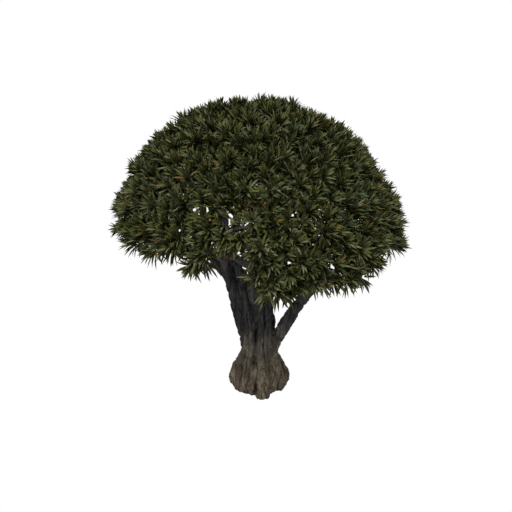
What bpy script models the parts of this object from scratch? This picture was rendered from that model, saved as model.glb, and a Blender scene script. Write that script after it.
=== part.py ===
"""Dragon tree: a broad dome of leaf rosettes on thick forking limbs, rooted in level ground.

Units are metres and +Z is up. The origin is the centre of the flat cut under the trunk, at ground
level, and the side that is usually seen faces -Y. A place on the tree is told by its azimuth, in
degrees from +X towards +Y, by its distance from the trunk's axis and by its height.
"""

import math
import random

import bmesh
import bpy
from mathutils import Matrix, Vector

TREE_HEIGHT = 8.06  # ground to the top of the dome that the leaf tips reach for
CROWN_RADIUS = 3.72  # trunk's axis to the furthest leaf tips
RIM_HEIGHT = 4.75  # where the dome is widest
CROWN_HEIGHT = TREE_HEIGHT - RIM_HEIGHT
CROWN_TILT = Vector((-0.05, 0.02, 0.0))  # the crown's rise for each metre along X and Y
CROWN_LEAN = Vector((0.12, 0.0, 0.0))  # of its apex, from over the trunk's axis
SHOULDER = 0.03  # share by which the dome is slimmer than round, half-way up

# Trunk
FLARE_RADIUS = 0.86  # furthest reach of the root toes
FLARE_HEIGHT = 0.32  # where they reach it
FOOT_SHARE = 0.84  # of that reach, at the ground
NECK_RADIUS = 0.43  # of the wood behind the stems
NECK_HEIGHT = 1.30
FORK_HEIGHT = 2.70
CORE_HEIGHT = 2.95  # of the wood behind the stems
TOE_COUNT = 11
TOE_RADIUS = 0.21
TOE_TOP_HEIGHT = 1.60
BELOW_GROUND = 0.20  # cut away level with the ground
TOE_STRAY = 6.0  # degrees that a toe is off the even spread
TOE_SIZES = (0.88, 1.08)
CORE_STEPS = 16

# Limbs
STEM_RADIUS = 0.20  # of a stem at the trunk's neck
STEM_TIP_RADIUS = 0.085
ELBOW_HEIGHT = 3.70  # where the stems begin to spread
BOUGH_RADIUS = 0.120  # of a side bough where it leaves its stem
BOUGH_TIP_RADIUS = 0.075
BOUGH_SHARES = (0.32, 0.48, 0.64)  # of the stem's free length, where its side boughs leave
BOUGH_RISE = 0.5  # how steeply they leave it
BOUGH_POINTS = 7
STEM_POINTS = (8, 6)  # below and above the elbow
TIP_STRAIGHT = 0.06  # straight end of a limb, so that its cut end faces the mass's stem squarely
LIMB_SIDES = 8
BOUGH_SIDES = 6
HUB_HEIGHT = 3.9  # the boughs spread as if from this point of the axis
HUB_SHARE = 0.60  # of the way from there to the rosettes that the boughs cover
JOINT_GAP = 0.0003

# Stems: name, azimuth, then distance from the axis at the neck, the fork and the elbow, and the
# height at which the stem parts from the trunk
STEMS = (
    ("right", -30.0, 0.38, 1.05, 1.58, 1.85),
    ("right_back", 30.0, 0.24, 0.28, 0.53, 3.00),
    ("back", 90.0, 0.26, 0.54, 0.90, 3.00),
    ("left_back", 150.0, 0.26, 0.52, 0.85, 3.00),
    ("left", 210.0, 0.28, 0.65, 0.88, 2.60),
    ("front", 255.0, 0.26, 0.38, 0.62, 3.00),
)

# Foliage: each ring of masses has a name, a count, degrees from the apex, its first azimuth, the
# number of rosettes in a mass and their distance from its middle over the dome
RINGS = (
    ("top", 3, 18.0, 30.0, 4, 0.74),
    ("middle", 9, 47.0, -50.0, 3, 0.60),
    ("rim", 12, 76.0, -50.0, 3, 0.54),
)
ROSETTE_DEPTH = 0.45  # of a rosette's heart under the crown's outer surface
LOWEST_TIP = 4.50  # height under the crown's middle that no leaf hangs below
HEM = (  # azimuths, each with how many degrees from the apex the lowest rosettes sit there
    (0.0, 87.0),
    (180.0, 87.0),
    (205.0, 80.0),
    (237.0, 79.0),
    (240.0, 86.0),
    (249.0, 86.0),
    (251.0, 69.0),
    (263.0, 69.0),
    (267.0, 88.0),
    (310.0, 90.0),
    (330.0, 80.0),
    (360.0, 87.0),
)
HEM_SLACK = 9.0  # hearts further under the hem than this are left out, the others raised to it
HEART_STRAY = (15.0, 0.1, 0.04)  # of a heart: degrees round its mass, share of its distance, depth
LOW_HEARTS = (("rim_11", 243.0, 3.05, 4.80), ("rim_12", 279.0, 3.15, 4.78))
HEART_RADIUS = 0.28
HEART_DEPTH = 0.13  # of half the heart, along the rosette's axis
LEAF_LENGTH = 0.56
LEAF_SHARES = (1.0, 0.9, 0.8, 0.65, 0.5, 0.4)  # of that length, the first that fits is taken
LEAF_WIDTH = 0.32
LEAF_THICKNESS = 0.035
LEAF_WIDEST = 0.42  # share of the leaf's length
SPREAD_LIFT = 0.35  # turns the spreading leaves up towards the rosette's axis
TIP_DROOP = 0.06
LEAF_ROOM = 0.09  # kept free round a leaf's middle line by the next rosettes
MASS_STEM_LENGTH = 0.32
MASS_STEM_RADIUS = 0.065
TWIG_RADIUS = 0.042
TWIG_SIDES = 3
FORK_SHARE = 0.42  # of the way to its hearts where a twig forks
ROSETTE_LEAN = 0.25  # how far a rosette leans from the dome's outward direction to its twig's
SPACE_MARGIN = 0.012  # between masses, and from leaf to limb
MERGE_DISTANCE = 0.00001
SEED = 9


def at(azimuth, distance, height):
    """Point at an azimuth in degrees, a distance from the axis and a height."""
    turn = math.radians(azimuth)
    return Vector((distance * math.cos(turn), distance * math.sin(turn), height))


def dome(azimuth, polar, depth):
    """Point that deep under the crown's outer surface, polar degrees from the apex."""
    slope = math.radians(polar)
    height = RIM_HEIGHT + (CROWN_HEIGHT - depth) * math.cos(slope)
    width = math.sin(slope) * (1 - SHOULDER * math.sin(2 * slope) ** 2)
    level = at(azimuth, (CROWN_RADIUS - depth) * width, height)
    return level + Vector((0, 0, CROWN_TILT.dot(level))) + CROWN_LEAN * max(0, math.cos(slope))


def hem(azimuth):
    """Degrees from the apex of the lowest rosettes at an azimuth from 0 to 360."""
    for (first, low), (last, high) in zip(HEM, HEM[1:]):
        if first <= azimuth <= last:
            return low + (high - low) * (azimuth - first) / (last - first)
    raise ValueError("no such azimuth")


def over_rim(point):
    """A point's height over the tilted plane where the crown is widest."""
    return point.z - RIM_HEIGHT - CROWN_TILT.dot(point)


def from_middle(point):
    """A point's level distance from the leaning crown's middle line, as a vector."""
    level = point - CROWN_LEAN * max(0, over_rim(point)) / CROWN_HEIGHT
    return Vector((level.x, level.y, 0))


def dome_normal(point):
    """Outward direction of the crown's surface near a point."""
    across = from_middle(point) / CROWN_RADIUS**2
    return (across + Vector((0, 0, over_rim(point))) / CROWN_HEIGHT**2).normalized()


def smooth_line(knots, count, beyond=None):
    """Points on a smooth curve through the knots, which heads for a point beyond them."""
    ends = [2 * knots[0] - knots[1], *knots, beyond or 2 * knots[-1] - knots[-2]]
    line = []
    for step in range(count):
        place = step / (count - 1) * (len(knots) - 1)
        span = min(int(place), len(knots) - 2)
        t = place - span
        a, b, c, d = ends[span : span + 4]
        bend = (2 * a - 5 * b + 4 * c - d) * t**2 + (3 * b - a - 3 * c + d) * t**3
        line.append(b + 0.5 * ((c - a) * t + bend))
    return line


def arched_line(start, leaving, arriving, end, count):
    """Points on a curve that leaves its start and arrives at its end in the given directions."""
    reach = (end - start).length / 3
    line = []
    for step in range(count):
        t = step / (count - 1)
        u = 1 - t
        sides = 3 * u**2 * t * (start + leaving * reach) + 3 * u * t**2 * (end - arriving * reach)
        line.append(u**3 * start + sides + t**3 * end)
    return line


def straight_ended(line, heading):
    """The line with its last stretch turned to run straight along heading."""
    return [*line[:-1], line[-1] - heading * TIP_STRAIGHT, line[-1]]


def with_radii(line, first, last):
    """The points of a line, each with a radius that runs evenly from first to last."""
    return [
        (point, first + (last - first) * step / (len(line) - 1)) for step, point in enumerate(line)
    ]


def link(name, data, group, material=None):
    """New object for data in a collection."""
    made = bpy.data.objects.new(name, data)
    group.objects.link(made)
    if material:
        data.materials.append(material)
    return made


def new_group(name):
    """New collection in the scene."""
    group = bpy.data.collections.new(name)
    bpy.context.scene.collection.children.link(group)
    return group


def from_bmesh(name, bm, group, material=None):
    """New mesh object from bm, which is freed."""
    data = bpy.data.meshes.new(name)
    bm.to_mesh(data)
    bm.free()
    return link(name, data, group, material)


def applied(item):
    """Plain mesh object in the place of one with modifiers, or of a curve."""
    name, group, place = item.name, item.users_collection[0], item.matrix_world.copy()
    graph = bpy.context.evaluated_depsgraph_get()
    data = bpy.data.meshes.new_from_object(item.evaluated_get(graph))
    bpy.data.objects.remove(item)
    bm = bmesh.new()
    bm.from_mesh(data)
    bmesh.ops.remove_doubles(bm, verts=bm.verts, dist=MERGE_DISTANCE)
    bm.to_mesh(data)
    bm.free()
    made = link(name, data, group)
    made.matrix_world = place
    return made


def tube(name, line, group, material, sides=LIMB_SIDES, swell=0.0):
    """Round limb along points with radii, each radius made larger by swell."""
    data = bpy.data.curves.new(name, "CURVE")
    data.dimensions = "3D"
    data.bevel_depth = 1.0
    data.bevel_resolution = sides // 2 - 2
    data.use_fill_caps = True
    spline = data.splines.new("POLY")
    spline.points.add(len(line) - 1)
    for knot, (point, radius) in zip(spline.points, line):
        knot.co = (*point, 1.0)
        knot.radius = radius + swell
    made = applied(link(name, data, group, material))
    bm = bmesh.new()
    bm.from_mesh(made.data)
    bmesh.ops.triangulate(bm, faces=bm.faces, quad_method="FIXED")
    bm.to_mesh(made.data)
    bm.free()
    return made


def boolean(item, operation, solver):
    """Adds a Boolean modifier."""
    modifier = item.modifiers.new(operation.lower(), "BOOLEAN")
    modifier.operation = operation
    modifier.solver = solver
    return modifier


def joined(item, others):
    """Fuses a collection's objects onto item by one union, and removes them."""
    union = boolean(item, "UNION", "MANIFOLD")
    union.operand_type = "COLLECTION"
    union.collection = others
    made = applied(item)
    for piece in list(others.objects):
        bpy.data.objects.remove(piece)
    bpy.data.collections.remove(others)
    return made


def whole(item):
    """Keeps the largest closed surface of item, without folds, scraps and sealed hollows."""
    bm = bmesh.new()
    bm.from_mesh(item.data)
    bmesh.ops.dissolve_limit(bm, angle_limit=0.001, verts=bm.verts, edges=bm.edges)
    bmesh.ops.triangulate(bm, faces=bm.faces)
    by_corners = {}
    for face in bm.faces:
        by_corners.setdefault(frozenset(face.verts), []).append(face)
    folded = [face for faces in by_corners.values() if len(faces) > 1 for face in faces]
    bmesh.ops.delete(bm, geom=folded, context="FACES")
    left = set(bm.faces)
    surfaces = []
    while left:
        surface, edge_on = set(), [next(iter(left))]
        while edge_on:
            face = edge_on.pop()
            if face in surface:
                continue
            surface.add(face)
            edge_on += [near for edge in face.edges for near in edge.link_faces]
        surfaces.append(surface)
        left -= surface
    surfaces.sort(key=len)
    scraps = [face for surface in surfaces[:-1] for face in surface]
    bmesh.ops.delete(bm, geom=scraps, context="FACES")
    bm.to_mesh(item.data)
    bm.free()
    return item


def cut_clear(item, line, group):
    """Cuts item clear of the limb along a line, by the joint's gap."""
    cutter = tube("cutter", line, group, None, swell=JOINT_GAP / math.cos(math.pi / LIMB_SIDES))
    boolean(item, "DIFFERENCE", "EXACT").object = cutter
    made = applied(item)
    bpy.data.objects.remove(cutter)
    return made


def sliced(item, point, normal, keeps_front):
    """Cuts item flat through a point, keeps what lies before or behind it, and closes the cut."""
    bm = bmesh.new()
    bm.from_mesh(item.data)
    bmesh.ops.bisect_plane(
        bm,
        geom=[*bm.verts, *bm.edges, *bm.faces],
        plane_co=point,
        plane_no=normal,
        clear_inner=keeps_front,
        clear_outer=not keeps_front,
    )
    bmesh.ops.holes_fill(bm, edges=bm.edges)
    bmesh.ops.recalc_face_normals(bm, faces=bm.faces)
    bm.to_mesh(item.data)
    bm.free()
    return item


def shade(item):
    """Smooth shading that keeps hard edges."""
    item.data.shade_smooth()
    item.data.set_sharp_from_angle(angle=math.radians(40))


def plain_material(name, colour, roughness):
    """Material of one colour."""
    material = bpy.data.materials.new(name)
    material.use_nodes = True
    shader = material.node_tree.nodes["Principled BSDF"]
    shader.inputs["Base Color"].default_value = (*colour, 1.0)
    shader.inputs["Roughness"].default_value = roughness
    shader.inputs["Metallic"].default_value = 0.0
    return material


def mass_centres():
    """Centre of each mass of foliage, on the surface where the hearts sit, by the mass's name."""
    centres = {}
    for ring, count, polar, first, _, _ in RINGS:
        for step in range(count):
            centres[f"{ring}_{step + 1:02d}"] = dome(first + step * 360 / count, polar, ROSETTE_DEPTH)
    return centres


def masses_of_stem(number):
    """Masses that a stem carries: the one at its own tip, then one for each side bough."""
    rim = (f"rim_{2 * number + 1:02d}", f"rim_{2 * number + 2:02d}")
    middle = number // 2 * 3
    if number % 2:
        return (f"top_{number // 2 + 1:02d}", *rim, f"middle_{middle + 3:02d}")
    return (f"middle_{middle + 1:02d}", *rim, f"middle_{middle + 2:02d}")


def limb_end(centre):
    """Where the limb that carries a mass ends, and its direction there."""
    tip = Vector((0, 0, HUB_HEIGHT)).lerp(centre, HUB_SHARE)
    return tip, (centre - tip).normalized()


def stem_lines(number, centre):
    """A stem's line with radii, from inside the trunk to its tip."""
    _, azimuth, neck, fork, elbow, _ = STEMS[number]
    tip, heading = limb_end(centre)
    knots = [
        at(azimuth, neck, NECK_HEIGHT / 2),
        at(azimuth, neck, NECK_HEIGHT),
        at(azimuth, fork, FORK_HEIGHT),
        at(azimuth, elbow, ELBOW_HEIGHT),
    ]
    rising = (tip - knots[-2]).normalized()
    lower = smooth_line(knots, STEM_POINTS[0], tip)
    upper = arched_line(knots[-1], rising, heading, tip, STEM_POINTS[1])
    line = []
    for point in straight_ended([*lower, *upper[1:]], heading):
        share = max(0.0, (point.z - NECK_HEIGHT) / (tip.z - NECK_HEIGHT))
        line.append((point, STEM_RADIUS + (STEM_TIP_RADIUS - STEM_RADIUS) * share))
    return line


def crossing(line, height):
    """Where a rising line passes a height: the point, the radius and the direction."""
    for (low, low_radius), (high, high_radius) in zip(line, line[1:]):
        if low.z <= height <= high.z:
            share = (height - low.z) / (high.z - low.z)
            radius = low_radius + (high_radius - low_radius) * share
            return low.lerp(high, share), radius, (high - low).normalized()
    raise ValueError("no such height on this line")


def bough_line(stem, part_height, share, centre):
    """A side bough's line with radii, from inside its stem to its tip."""
    top = stem[-1][0].z
    start, radius, _ = crossing(stem, part_height + (top - part_height) * share)
    tip, heading = limb_end(centre)
    leaving = Vector((tip.x - start.x, tip.y - start.y, BOUGH_RISE * (tip - start).length)).normalized()
    line = arched_line(start, leaving, heading, tip, BOUGH_POINTS)
    line = straight_ended(line, heading)
    return with_radii(line, min(BOUGH_RADIUS, 0.85 * radius), BOUGH_TIP_RADIUS)


def ground(group):
    """Block of ground that the trunk is cut level with."""
    size = 3 * FLARE_RADIUS
    bm = bmesh.new()
    bmesh.ops.create_cube(bm, size=size, matrix=Matrix.Translation((0, 0, -size / 2)))
    return from_bmesh("ground", bm, group)


def trunk(stems, group, cutters, material):
    """Root toes, a core and the fused feet of the stems, cut flat at the ground and at each fork."""
    chance = random.Random(SEED)
    pieces = new_group("trunk_pieces")
    for number in range(TOE_COUNT):
        azimuth = number * 360 / TOE_COUNT + chance.uniform(-TOE_STRAY, TOE_STRAY)
        size = chance.uniform(*TOE_SIZES)
        reach = FLARE_RADIUS - TOE_RADIUS * size
        knots = [
            at(azimuth, 0.6 * NECK_RADIUS, TOE_TOP_HEIGHT * size),
            at(azimuth, 0.9 * NECK_RADIUS, NECK_HEIGHT * 0.8),
            at(azimuth, reach, FLARE_HEIGHT),
            at(azimuth, reach * FOOT_SHARE, 0),
            at(azimuth, reach * FOOT_SHARE, -BELOW_GROUND),
        ]
        line = with_radii(smooth_line(knots, 7), 0.5 * TOE_RADIUS, 1.1 * TOE_RADIUS * size)
        tube(f"toe_{number}", line, pieces, material)
    for number, stem in enumerate(stems):
        name, _, _, _, _, part_height = STEMS[number]
        point, _, direction = crossing(stem, part_height)
        sliced(tube(f"foot_{name}", stem, pieces, material), point, direction, False)
    made = joined(spun_core(group, material), pieces)
    below = ground(cutters)
    boolean(made, "DIFFERENCE", "MANIFOLD").object = below
    made = applied(made)
    bpy.data.objects.remove(below)
    return whole(made)


def spun_core(group, material):
    """The wood behind the toes and the stems, a profile turned round the axis."""
    profile = (
        (0.0, CORE_HEIGHT),
        (0.70 * NECK_RADIUS, 0.96 * CORE_HEIGHT),
        (0.90 * NECK_RADIUS, 1.4 * NECK_HEIGHT),
        (NECK_RADIUS, 0.9 * NECK_HEIGHT),
        (0.76 * FLARE_RADIUS, 1.5 * FLARE_HEIGHT),
        (0.78 * FLARE_RADIUS, FLARE_HEIGHT),
        (0.70 * FLARE_RADIUS, 0.0),
        (0.70 * FLARE_RADIUS, -BELOW_GROUND),
        (0.0, -BELOW_GROUND),
    )
    bm = bmesh.new()
    points = [bm.verts.new((radius, 0, height)) for radius, height in profile]
    for upper, lower in zip(points, points[1:]):
        bm.edges.new((upper, lower))
    core = from_bmesh("trunk", bm, group, material)
    turn = core.modifiers.new("turn", "SCREW")
    turn.steps = turn.render_steps = CORE_STEPS
    turn.use_merge_vertices = True
    turn.merge_threshold = 0.0001
    return applied(core)


def placed_hearts():
    """Hearts of each mass's rosettes, round the middle of the mass, by the mass's name.

    The triangles that they form stand on a corner and on a side by turns.
    """
    chance = random.Random(SEED)
    turn_stray, distance_stray, depth_stray = HEART_STRAY
    placed = {}
    for ring, count, polar, first, each, distance in RINGS:
        for step in range(count):
            hearts = []
            for number in range(each):
                turn = 360 * number / each + 180 * (step % 2) - 90
                turn = math.radians(turn + chance.uniform(-turn_stray, turn_stray))
                spread = distance * (1 + chance.uniform(-distance_stray, distance_stray))
                down = polar - math.degrees(spread * math.sin(turn) / CROWN_RADIUS)
                along = spread * math.cos(turn) / (CROWN_RADIUS * math.sin(math.radians(polar)))
                azimuth = first + step * 360 / count + math.degrees(along)
                depth = ROSETTE_DEPTH + chance.uniform(-depth_stray, depth_stray)
                lowest = hem(azimuth % 360)
                if down < lowest + HEM_SLACK:
                    hearts.append(dome(azimuth, min(down, lowest), depth))
            placed[f"{ring}_{step + 1:02d}"] = hearts
    for name, azimuth, distance, height in LOW_HEARTS:
        placed[name].append(at(azimuth, distance, height))
    return placed


def in_space(points, own, centres, margin):
    """Whether all points lie in the crown, nearer to their own mass's centre than to any other."""
    for point in points:
        rise = over_rim(point)
        across = from_middle(point).length_squared / CROWN_RADIUS**2
        if rise < LOWEST_TIP - RIM_HEIGHT or across + (rise / CROWN_HEIGHT) ** 2 > 1:
            return False
        for other in centres.values():
            towards = (other - own).normalized()
            if other is not own and (point - (own + other) / 2).dot(towards) > -margin:
                return False
    return True


def clear_of_limbs(start, end, half_width, limbs):
    """Whether a straight twig or leaf keeps the margin from every limb."""
    steps = [start.lerp(end, step / 6) for step in range(7)]
    for line in limbs:
        for (low, first), (high, last) in zip(line, line[1:]):
            along = high - low
            for point in steps:
                share = min(1.0, max(0.0, (point - low).dot(along) / along.length_squared))
                radius = first + (last - first) * share
                if (point - low - along * share).length < radius + half_width + SPACE_MARGIN:
                    return False
    return True


def drawn_in(heart, own, centres):
    """The heart, moved towards its mass's centre as far as its mass's space needs."""
    share = 0.0
    while not in_space([heart.lerp(own, share)], own, centres, HEART_RADIUS + SPACE_MARGIN):
        share += 0.05
    return heart.lerp(own, share)


def twig_runs(base, hearts, radius):
    """Twigs from a fork to its hearts, each with its radius and the hearts that it leads to.

    A fork parts the hearts in two, across their widest spread.
    """
    if len(hearts) == 1:
        return [(base, hearts[0], radius, hearts)]
    middle = sum(hearts, Vector()) / len(hearts)
    first = max(hearts, key=lambda heart: (heart - middle).length)
    last = max(hearts, key=lambda heart: (heart - first).length)
    ranked = sorted(hearts, key=lambda heart: (heart - first).dot(last - first))
    half = len(ranked) // 2
    runs = []
    for share in (ranked[:half], ranked[half:]):
        fork = base.lerp(sum(share, Vector()) / len(share), FORK_SHARE)
        if len(share) == 1:
            runs.append((base, share[0], radius, share))
        else:
            runs.append((base, fork, radius, share))
            runs += twig_runs(fork, share, max(TWIG_RADIUS, 0.85 * radius))
    return runs


def clear_runs(base, hearts, radius, limbs):
    """Twig runs without the hearts whose twigs would touch a limb."""
    runs = twig_runs(base, hearts, radius)
    for start, end, thickness, beyond in runs:
        if not clear_of_limbs(start, end, thickness, limbs):
            others = [heart for heart in hearts if heart not in beyond]
            return clear_runs(base, others, radius, limbs)
    return runs


def twig(name, start, end, first, last, group, material=None):
    """Straight three-sided twig."""
    along = end - start
    turned = along.to_track_quat("Z", "Y").to_matrix().to_4x4()
    bm = bmesh.new()
    bmesh.ops.create_cone(
        bm,
        cap_ends=True,
        segments=TWIG_SIDES,
        radius1=first,
        radius2=last,
        depth=along.length,
        matrix=Matrix.Translation((start + end) / 2) @ turned,
    )
    return from_bmesh(name, bm, group, material)


def grow_leaf(bm, face, outward, axis, keeps):
    """Draws one face of a rosette's heart out into a keeled leaf, as long as keeps allows.

    Returns the leaf's middle line with radii, as a list that is empty where no leaf fits.
    """
    root = face.calc_center_median()
    direction = (outward + axis * SPREAD_LIFT).normalized()
    across = axis.cross(direction).normalized()
    under = across.cross(direction)
    for share in LEAF_SHARES:
        widest = root + direction * LEAF_LENGTH * LEAF_WIDEST * share
        corners = [
            widest + across * LEAF_WIDTH / 2,
            widest - across * LEAF_WIDTH / 2,
            widest + under * LEAF_THICKNESS,
        ]
        tip = root + direction * LEAF_LENGTH * share + under * TIP_DROOP
        if keeps(root, tip, corners):
            break
    else:
        return []
    blade = bmesh.ops.extrude_discrete_faces(bm, faces=[face])["faces"][0]
    rooted = [vert.co - root for vert in blade.verts]
    turns = [corners[step:] + corners[:step] for step in range(3)]
    fitted = max(turns, key=lambda turn: sum((c - widest).dot(r) for c, r in zip(turn, rooted)))
    for vert, corner in zip(blade.verts, fitted):
        vert.co = corner
    bmesh.ops.poke(bm, faces=[blade])["verts"][0].co = tip
    return [[(root, LEAF_ROOM), (widest, LEAF_ROOM), (tip, 0.0)]]


def rosette(name, heart, axis, turn, keeps, group):
    """Heart at the end of a twig, with five spreading leaves and two upright ones.

    Returns the leaves' middle lines with radii.
    """
    place = Matrix.Translation(heart) @ axis.to_track_quat("Z", "Y").to_matrix().to_4x4()
    bm = bmesh.new()
    bmesh.ops.create_icosphere(bm, subdivisions=1, radius=1.0, matrix=Matrix.Rotation(turn, 4, "Z"))
    bm.normal_update()
    outward = {face: place.to_3x3() @ face.normal for face in bm.faces}
    squash = Matrix.Diagonal((HEART_RADIUS, HEART_RADIUS, HEART_DEPTH, 1))
    bmesh.ops.transform(bm, matrix=place @ squash, verts=bm.verts)
    spreading = [face for face in bm.faces if 0 < outward[face].dot(axis) < 0.5]
    first, *others = [face for face in bm.faces if outward[face].dot(axis) > 0.5]
    apart = [face for face in others if len(set(face.verts) & set(first.verts)) == 1]
    leaves = []
    for face in (*spreading, first, apart[0]):
        leaves += grow_leaf(bm, face, outward[face], axis, keeps)
    bmesh.ops.triangulate(bm, faces=bm.faces)
    from_bmesh(name, bm, group)
    return leaves


def foliage(name, hearts, centres, limbs, group, material):
    """One mass: a stem that meets its bough, forking twigs, and a rosette at the end of each."""
    chance = random.Random(f"{name}{SEED}")
    own = centres[name]
    tip, heading = limb_end(own)
    base = tip + heading * MASS_STEM_LENGTH
    stem = twig(
        f"foliage_{name}",
        tip + heading * JOINT_GAP,
        base + heading * MASS_STEM_RADIUS,
        MASS_STEM_RADIUS,
        0.9 * MASS_STEM_RADIUS,
        group,
        material,
    )

    taken = []  # by the hearts and leaves of the mass's other rosettes

    def keeps(root, end, corners):
        return (
            in_space([end, *corners], own, centres, SPACE_MARGIN)
            and clear_of_limbs(root, end, LEAF_WIDTH / 2, limbs)
            and clear_of_limbs(root, end, 0.0, taken)
        )

    pieces = new_group(f"{name}_pieces")
    hearts = [drawn_in(heart, own, centres) for heart in hearts]
    runs = clear_runs(base, hearts, 0.8 * MASS_STEM_RADIUS, limbs)
    for number, (start, end, radius, beyond) in enumerate(runs):
        sunk = start - (end - start).normalized() * 0.6 * radius
        twig(f"{name}_twig_{number}", sunk, end, radius, max(TWIG_RADIUS, 0.85 * radius), pieces)
        if end in beyond:
            axis = (dome_normal(end) + ROSETTE_LEAN * (end - start).normalized()).normalized()
            turn = chance.uniform(0, math.tau)
            taken += rosette(f"{name}_rosette_{number}", end, axis, turn, keeps, pieces)
    return whole(joined(stem, pieces))


def main():
    for item in list(bpy.data.objects):
        bpy.data.objects.remove(item)
    tree = new_group("dragon_tree")
    cutters = new_group("cutters")
    trunk_bark = plain_material("trunk_bark", (0.085, 0.070, 0.050), 0.9)
    limb_bark = plain_material("limb_bark", (0.045, 0.041, 0.036), 0.9)
    leaves = plain_material("leaves", (0.060, 0.068, 0.028), 0.55)
    centres = mass_centres()
    stems = [
        stem_lines(number, centres[masses_of_stem(number)[0]]) for number in range(len(STEMS))
    ]
    trunk(stems, tree, cutters, trunk_bark)
    limbs = list(stems)
    for number, stem in enumerate(stems):
        name, _, _, _, _, part_height = STEMS[number]
        point, _, direction = crossing(stem, part_height)
        limb = tube(f"stem_{name}", stem, tree, limb_bark)
        sliced(limb, point + direction * JOINT_GAP, direction, True)
        for share, mass in zip(BOUGH_SHARES, masses_of_stem(number)[1:]):
            line = bough_line(stem, part_height, share, centres[mass])
            bough = tube(f"bough_{mass}", line, tree, limb_bark, BOUGH_SIDES)
            cut_clear(bough, stem, cutters)
            limbs.append(line)
    for name, hearts in placed_hearts().items():
        foliage(name, hearts, centres, limbs, tree, leaves)
    for item in tree.objects:
        shade(item)


main()
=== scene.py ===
"""Dragon tree: its looks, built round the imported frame.

Units are metres and +Z is up; the side that is usually seen faces -Y. A place on the tree is told
by its azimuth, in degrees from +X towards +Y, by its distance from the trunk's axis and by its
height. The limbs repeat the part's own rule, and forking twigs and leaf rosettes grow on from
them.
"""

import logging
import math
import random
from collections.abc import Iterator, Sequence
from dataclasses import dataclass, field
from enum import Enum

import bmesh
import bpy
import numpy as np
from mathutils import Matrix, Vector


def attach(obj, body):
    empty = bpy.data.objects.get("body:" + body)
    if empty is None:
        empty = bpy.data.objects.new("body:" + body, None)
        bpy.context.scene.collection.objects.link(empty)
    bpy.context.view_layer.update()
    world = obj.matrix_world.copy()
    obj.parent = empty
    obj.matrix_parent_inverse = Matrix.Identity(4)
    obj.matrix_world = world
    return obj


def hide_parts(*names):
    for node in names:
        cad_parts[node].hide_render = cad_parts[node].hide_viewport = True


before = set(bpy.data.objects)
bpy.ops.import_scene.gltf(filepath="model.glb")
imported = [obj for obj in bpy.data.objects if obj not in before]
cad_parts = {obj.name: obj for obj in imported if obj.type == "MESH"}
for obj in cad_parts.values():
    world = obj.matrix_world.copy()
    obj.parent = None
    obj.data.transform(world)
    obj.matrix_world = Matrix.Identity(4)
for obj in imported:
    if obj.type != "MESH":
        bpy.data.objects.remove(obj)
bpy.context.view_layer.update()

Line = list[tuple[Vector, float]]  # points, each with a radius

GOLDEN_ANGLE = 137.508
CURVE_POINTS = 14  # along a toe, a strand, a rib and a stem's lower part
CHECKED_SHARES = (0.15, 0.45, 0.72, 0.95)  # of a leaf's length, where it may cross an opening
WELD = 0.00001  # nearer points are one
UP = Vector((0.0, 0.0, 1.0))

log = logging.getLogger("dragon_tree")


def at(azimuth: float, distance: float, height: float) -> Vector:
    """Finds a point of the tree.

    Args:
        azimuth: Degrees from +X towards +Y.
        distance: From the trunk's axis.
        height: Over the ground.

    Returns:
        The point.
    """
    turn = math.radians(azimuth)
    return Vector((distance * math.cos(turn), distance * math.sin(turn), height))


def smooth_line(knots: Sequence[Vector], count: int, beyond: Vector | None = None) -> list[Vector]:
    """Draws a smooth curve through knots.

    Args:
        knots: Points that the curve passes.
        count: How many points to return.
        beyond: A point past the last knot that the curve heads for.

    Returns:
        Points along the curve.
    """
    ends = [2 * knots[0] - knots[1], *knots, beyond or 2 * knots[-1] - knots[-2]]
    line = []
    for step in range(count):
        place = step / (count - 1) * (len(knots) - 1)
        span = min(int(place), len(knots) - 2)
        t = place - span
        a, b, c, d = ends[span : span + 4]
        bend = (2 * a - 5 * b + 4 * c - d) * t**2 + (3 * b - a - 3 * c + d) * t**3
        line.append(b + 0.5 * ((c - a) * t + bend))
    return line


def arched_line(
    start: Vector, leaving: Vector, arriving: Vector, end: Vector, count: int
) -> list[Vector]:
    """Draws a curve that leaves its start and arrives at its end in given directions.

    Args:
        start: First point.
        leaving: Direction there.
        arriving: Direction at the end.
        end: Last point.
        count: How many points to return.

    Returns:
        Points along the curve.
    """
    reach = (end - start).length / 3
    line = []
    for step in range(count):
        t = step / (count - 1)
        u = 1 - t
        sides = 3 * u**2 * t * (start + leaving * reach) + 3 * u * t**2 * (end - arriving * reach)
        line.append(u**3 * start + sides + t**3 * end)
    return line


def with_radii(line: Sequence[Vector], first: float, last: float) -> Line:
    """Gives the points of a line radii that run evenly from first to last."""
    return [
        (point, first + (last - first) * step / (len(line) - 1)) for step, point in enumerate(line)
    ]


def crossing(line: Line, height: float) -> tuple[Vector, float]:
    """Finds where a rising line passes a height.

    Args:
        line: Points with radii, lowest first.
        height: The height to look for.

    Returns:
        The point and the line's radius there.
    """
    for (low, low_radius), (high, high_radius) in zip(line, line[1:]):
        if low.z <= height <= high.z:
            share = (height - low.z) / (high.z - low.z)
            return low.lerp(high, share), low_radius + (high_radius - low_radius) * share
    raise ValueError("no such height on this line")


def link(name: str, data: bpy.types.ID) -> bpy.types.Object:
    """Puts data into the scene as a new object."""
    made = bpy.data.objects.new(name, data)
    bpy.context.scene.collection.objects.link(made)
    return made


def tubes_curve(name: str, lines: Sequence[Line]) -> bpy.types.Object:
    """Makes one curve object of many straight-knotted lines.

    Args:
        name: The object's name.
        lines: Points with radii, one list for each line.

    Returns:
        The curve object, without a bevel.
    """
    data = bpy.data.curves.new(name, "CURVE")
    data.dimensions = "3D"
    for line in lines:
        spline = data.splines.new("POLY")
        spline.points.add(len(line) - 1)
        for knot, (point, radius) in zip(spline.points, line):
            knot.co = (*point, 1.0)
            knot.radius = radius
    return link(name, data)


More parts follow.
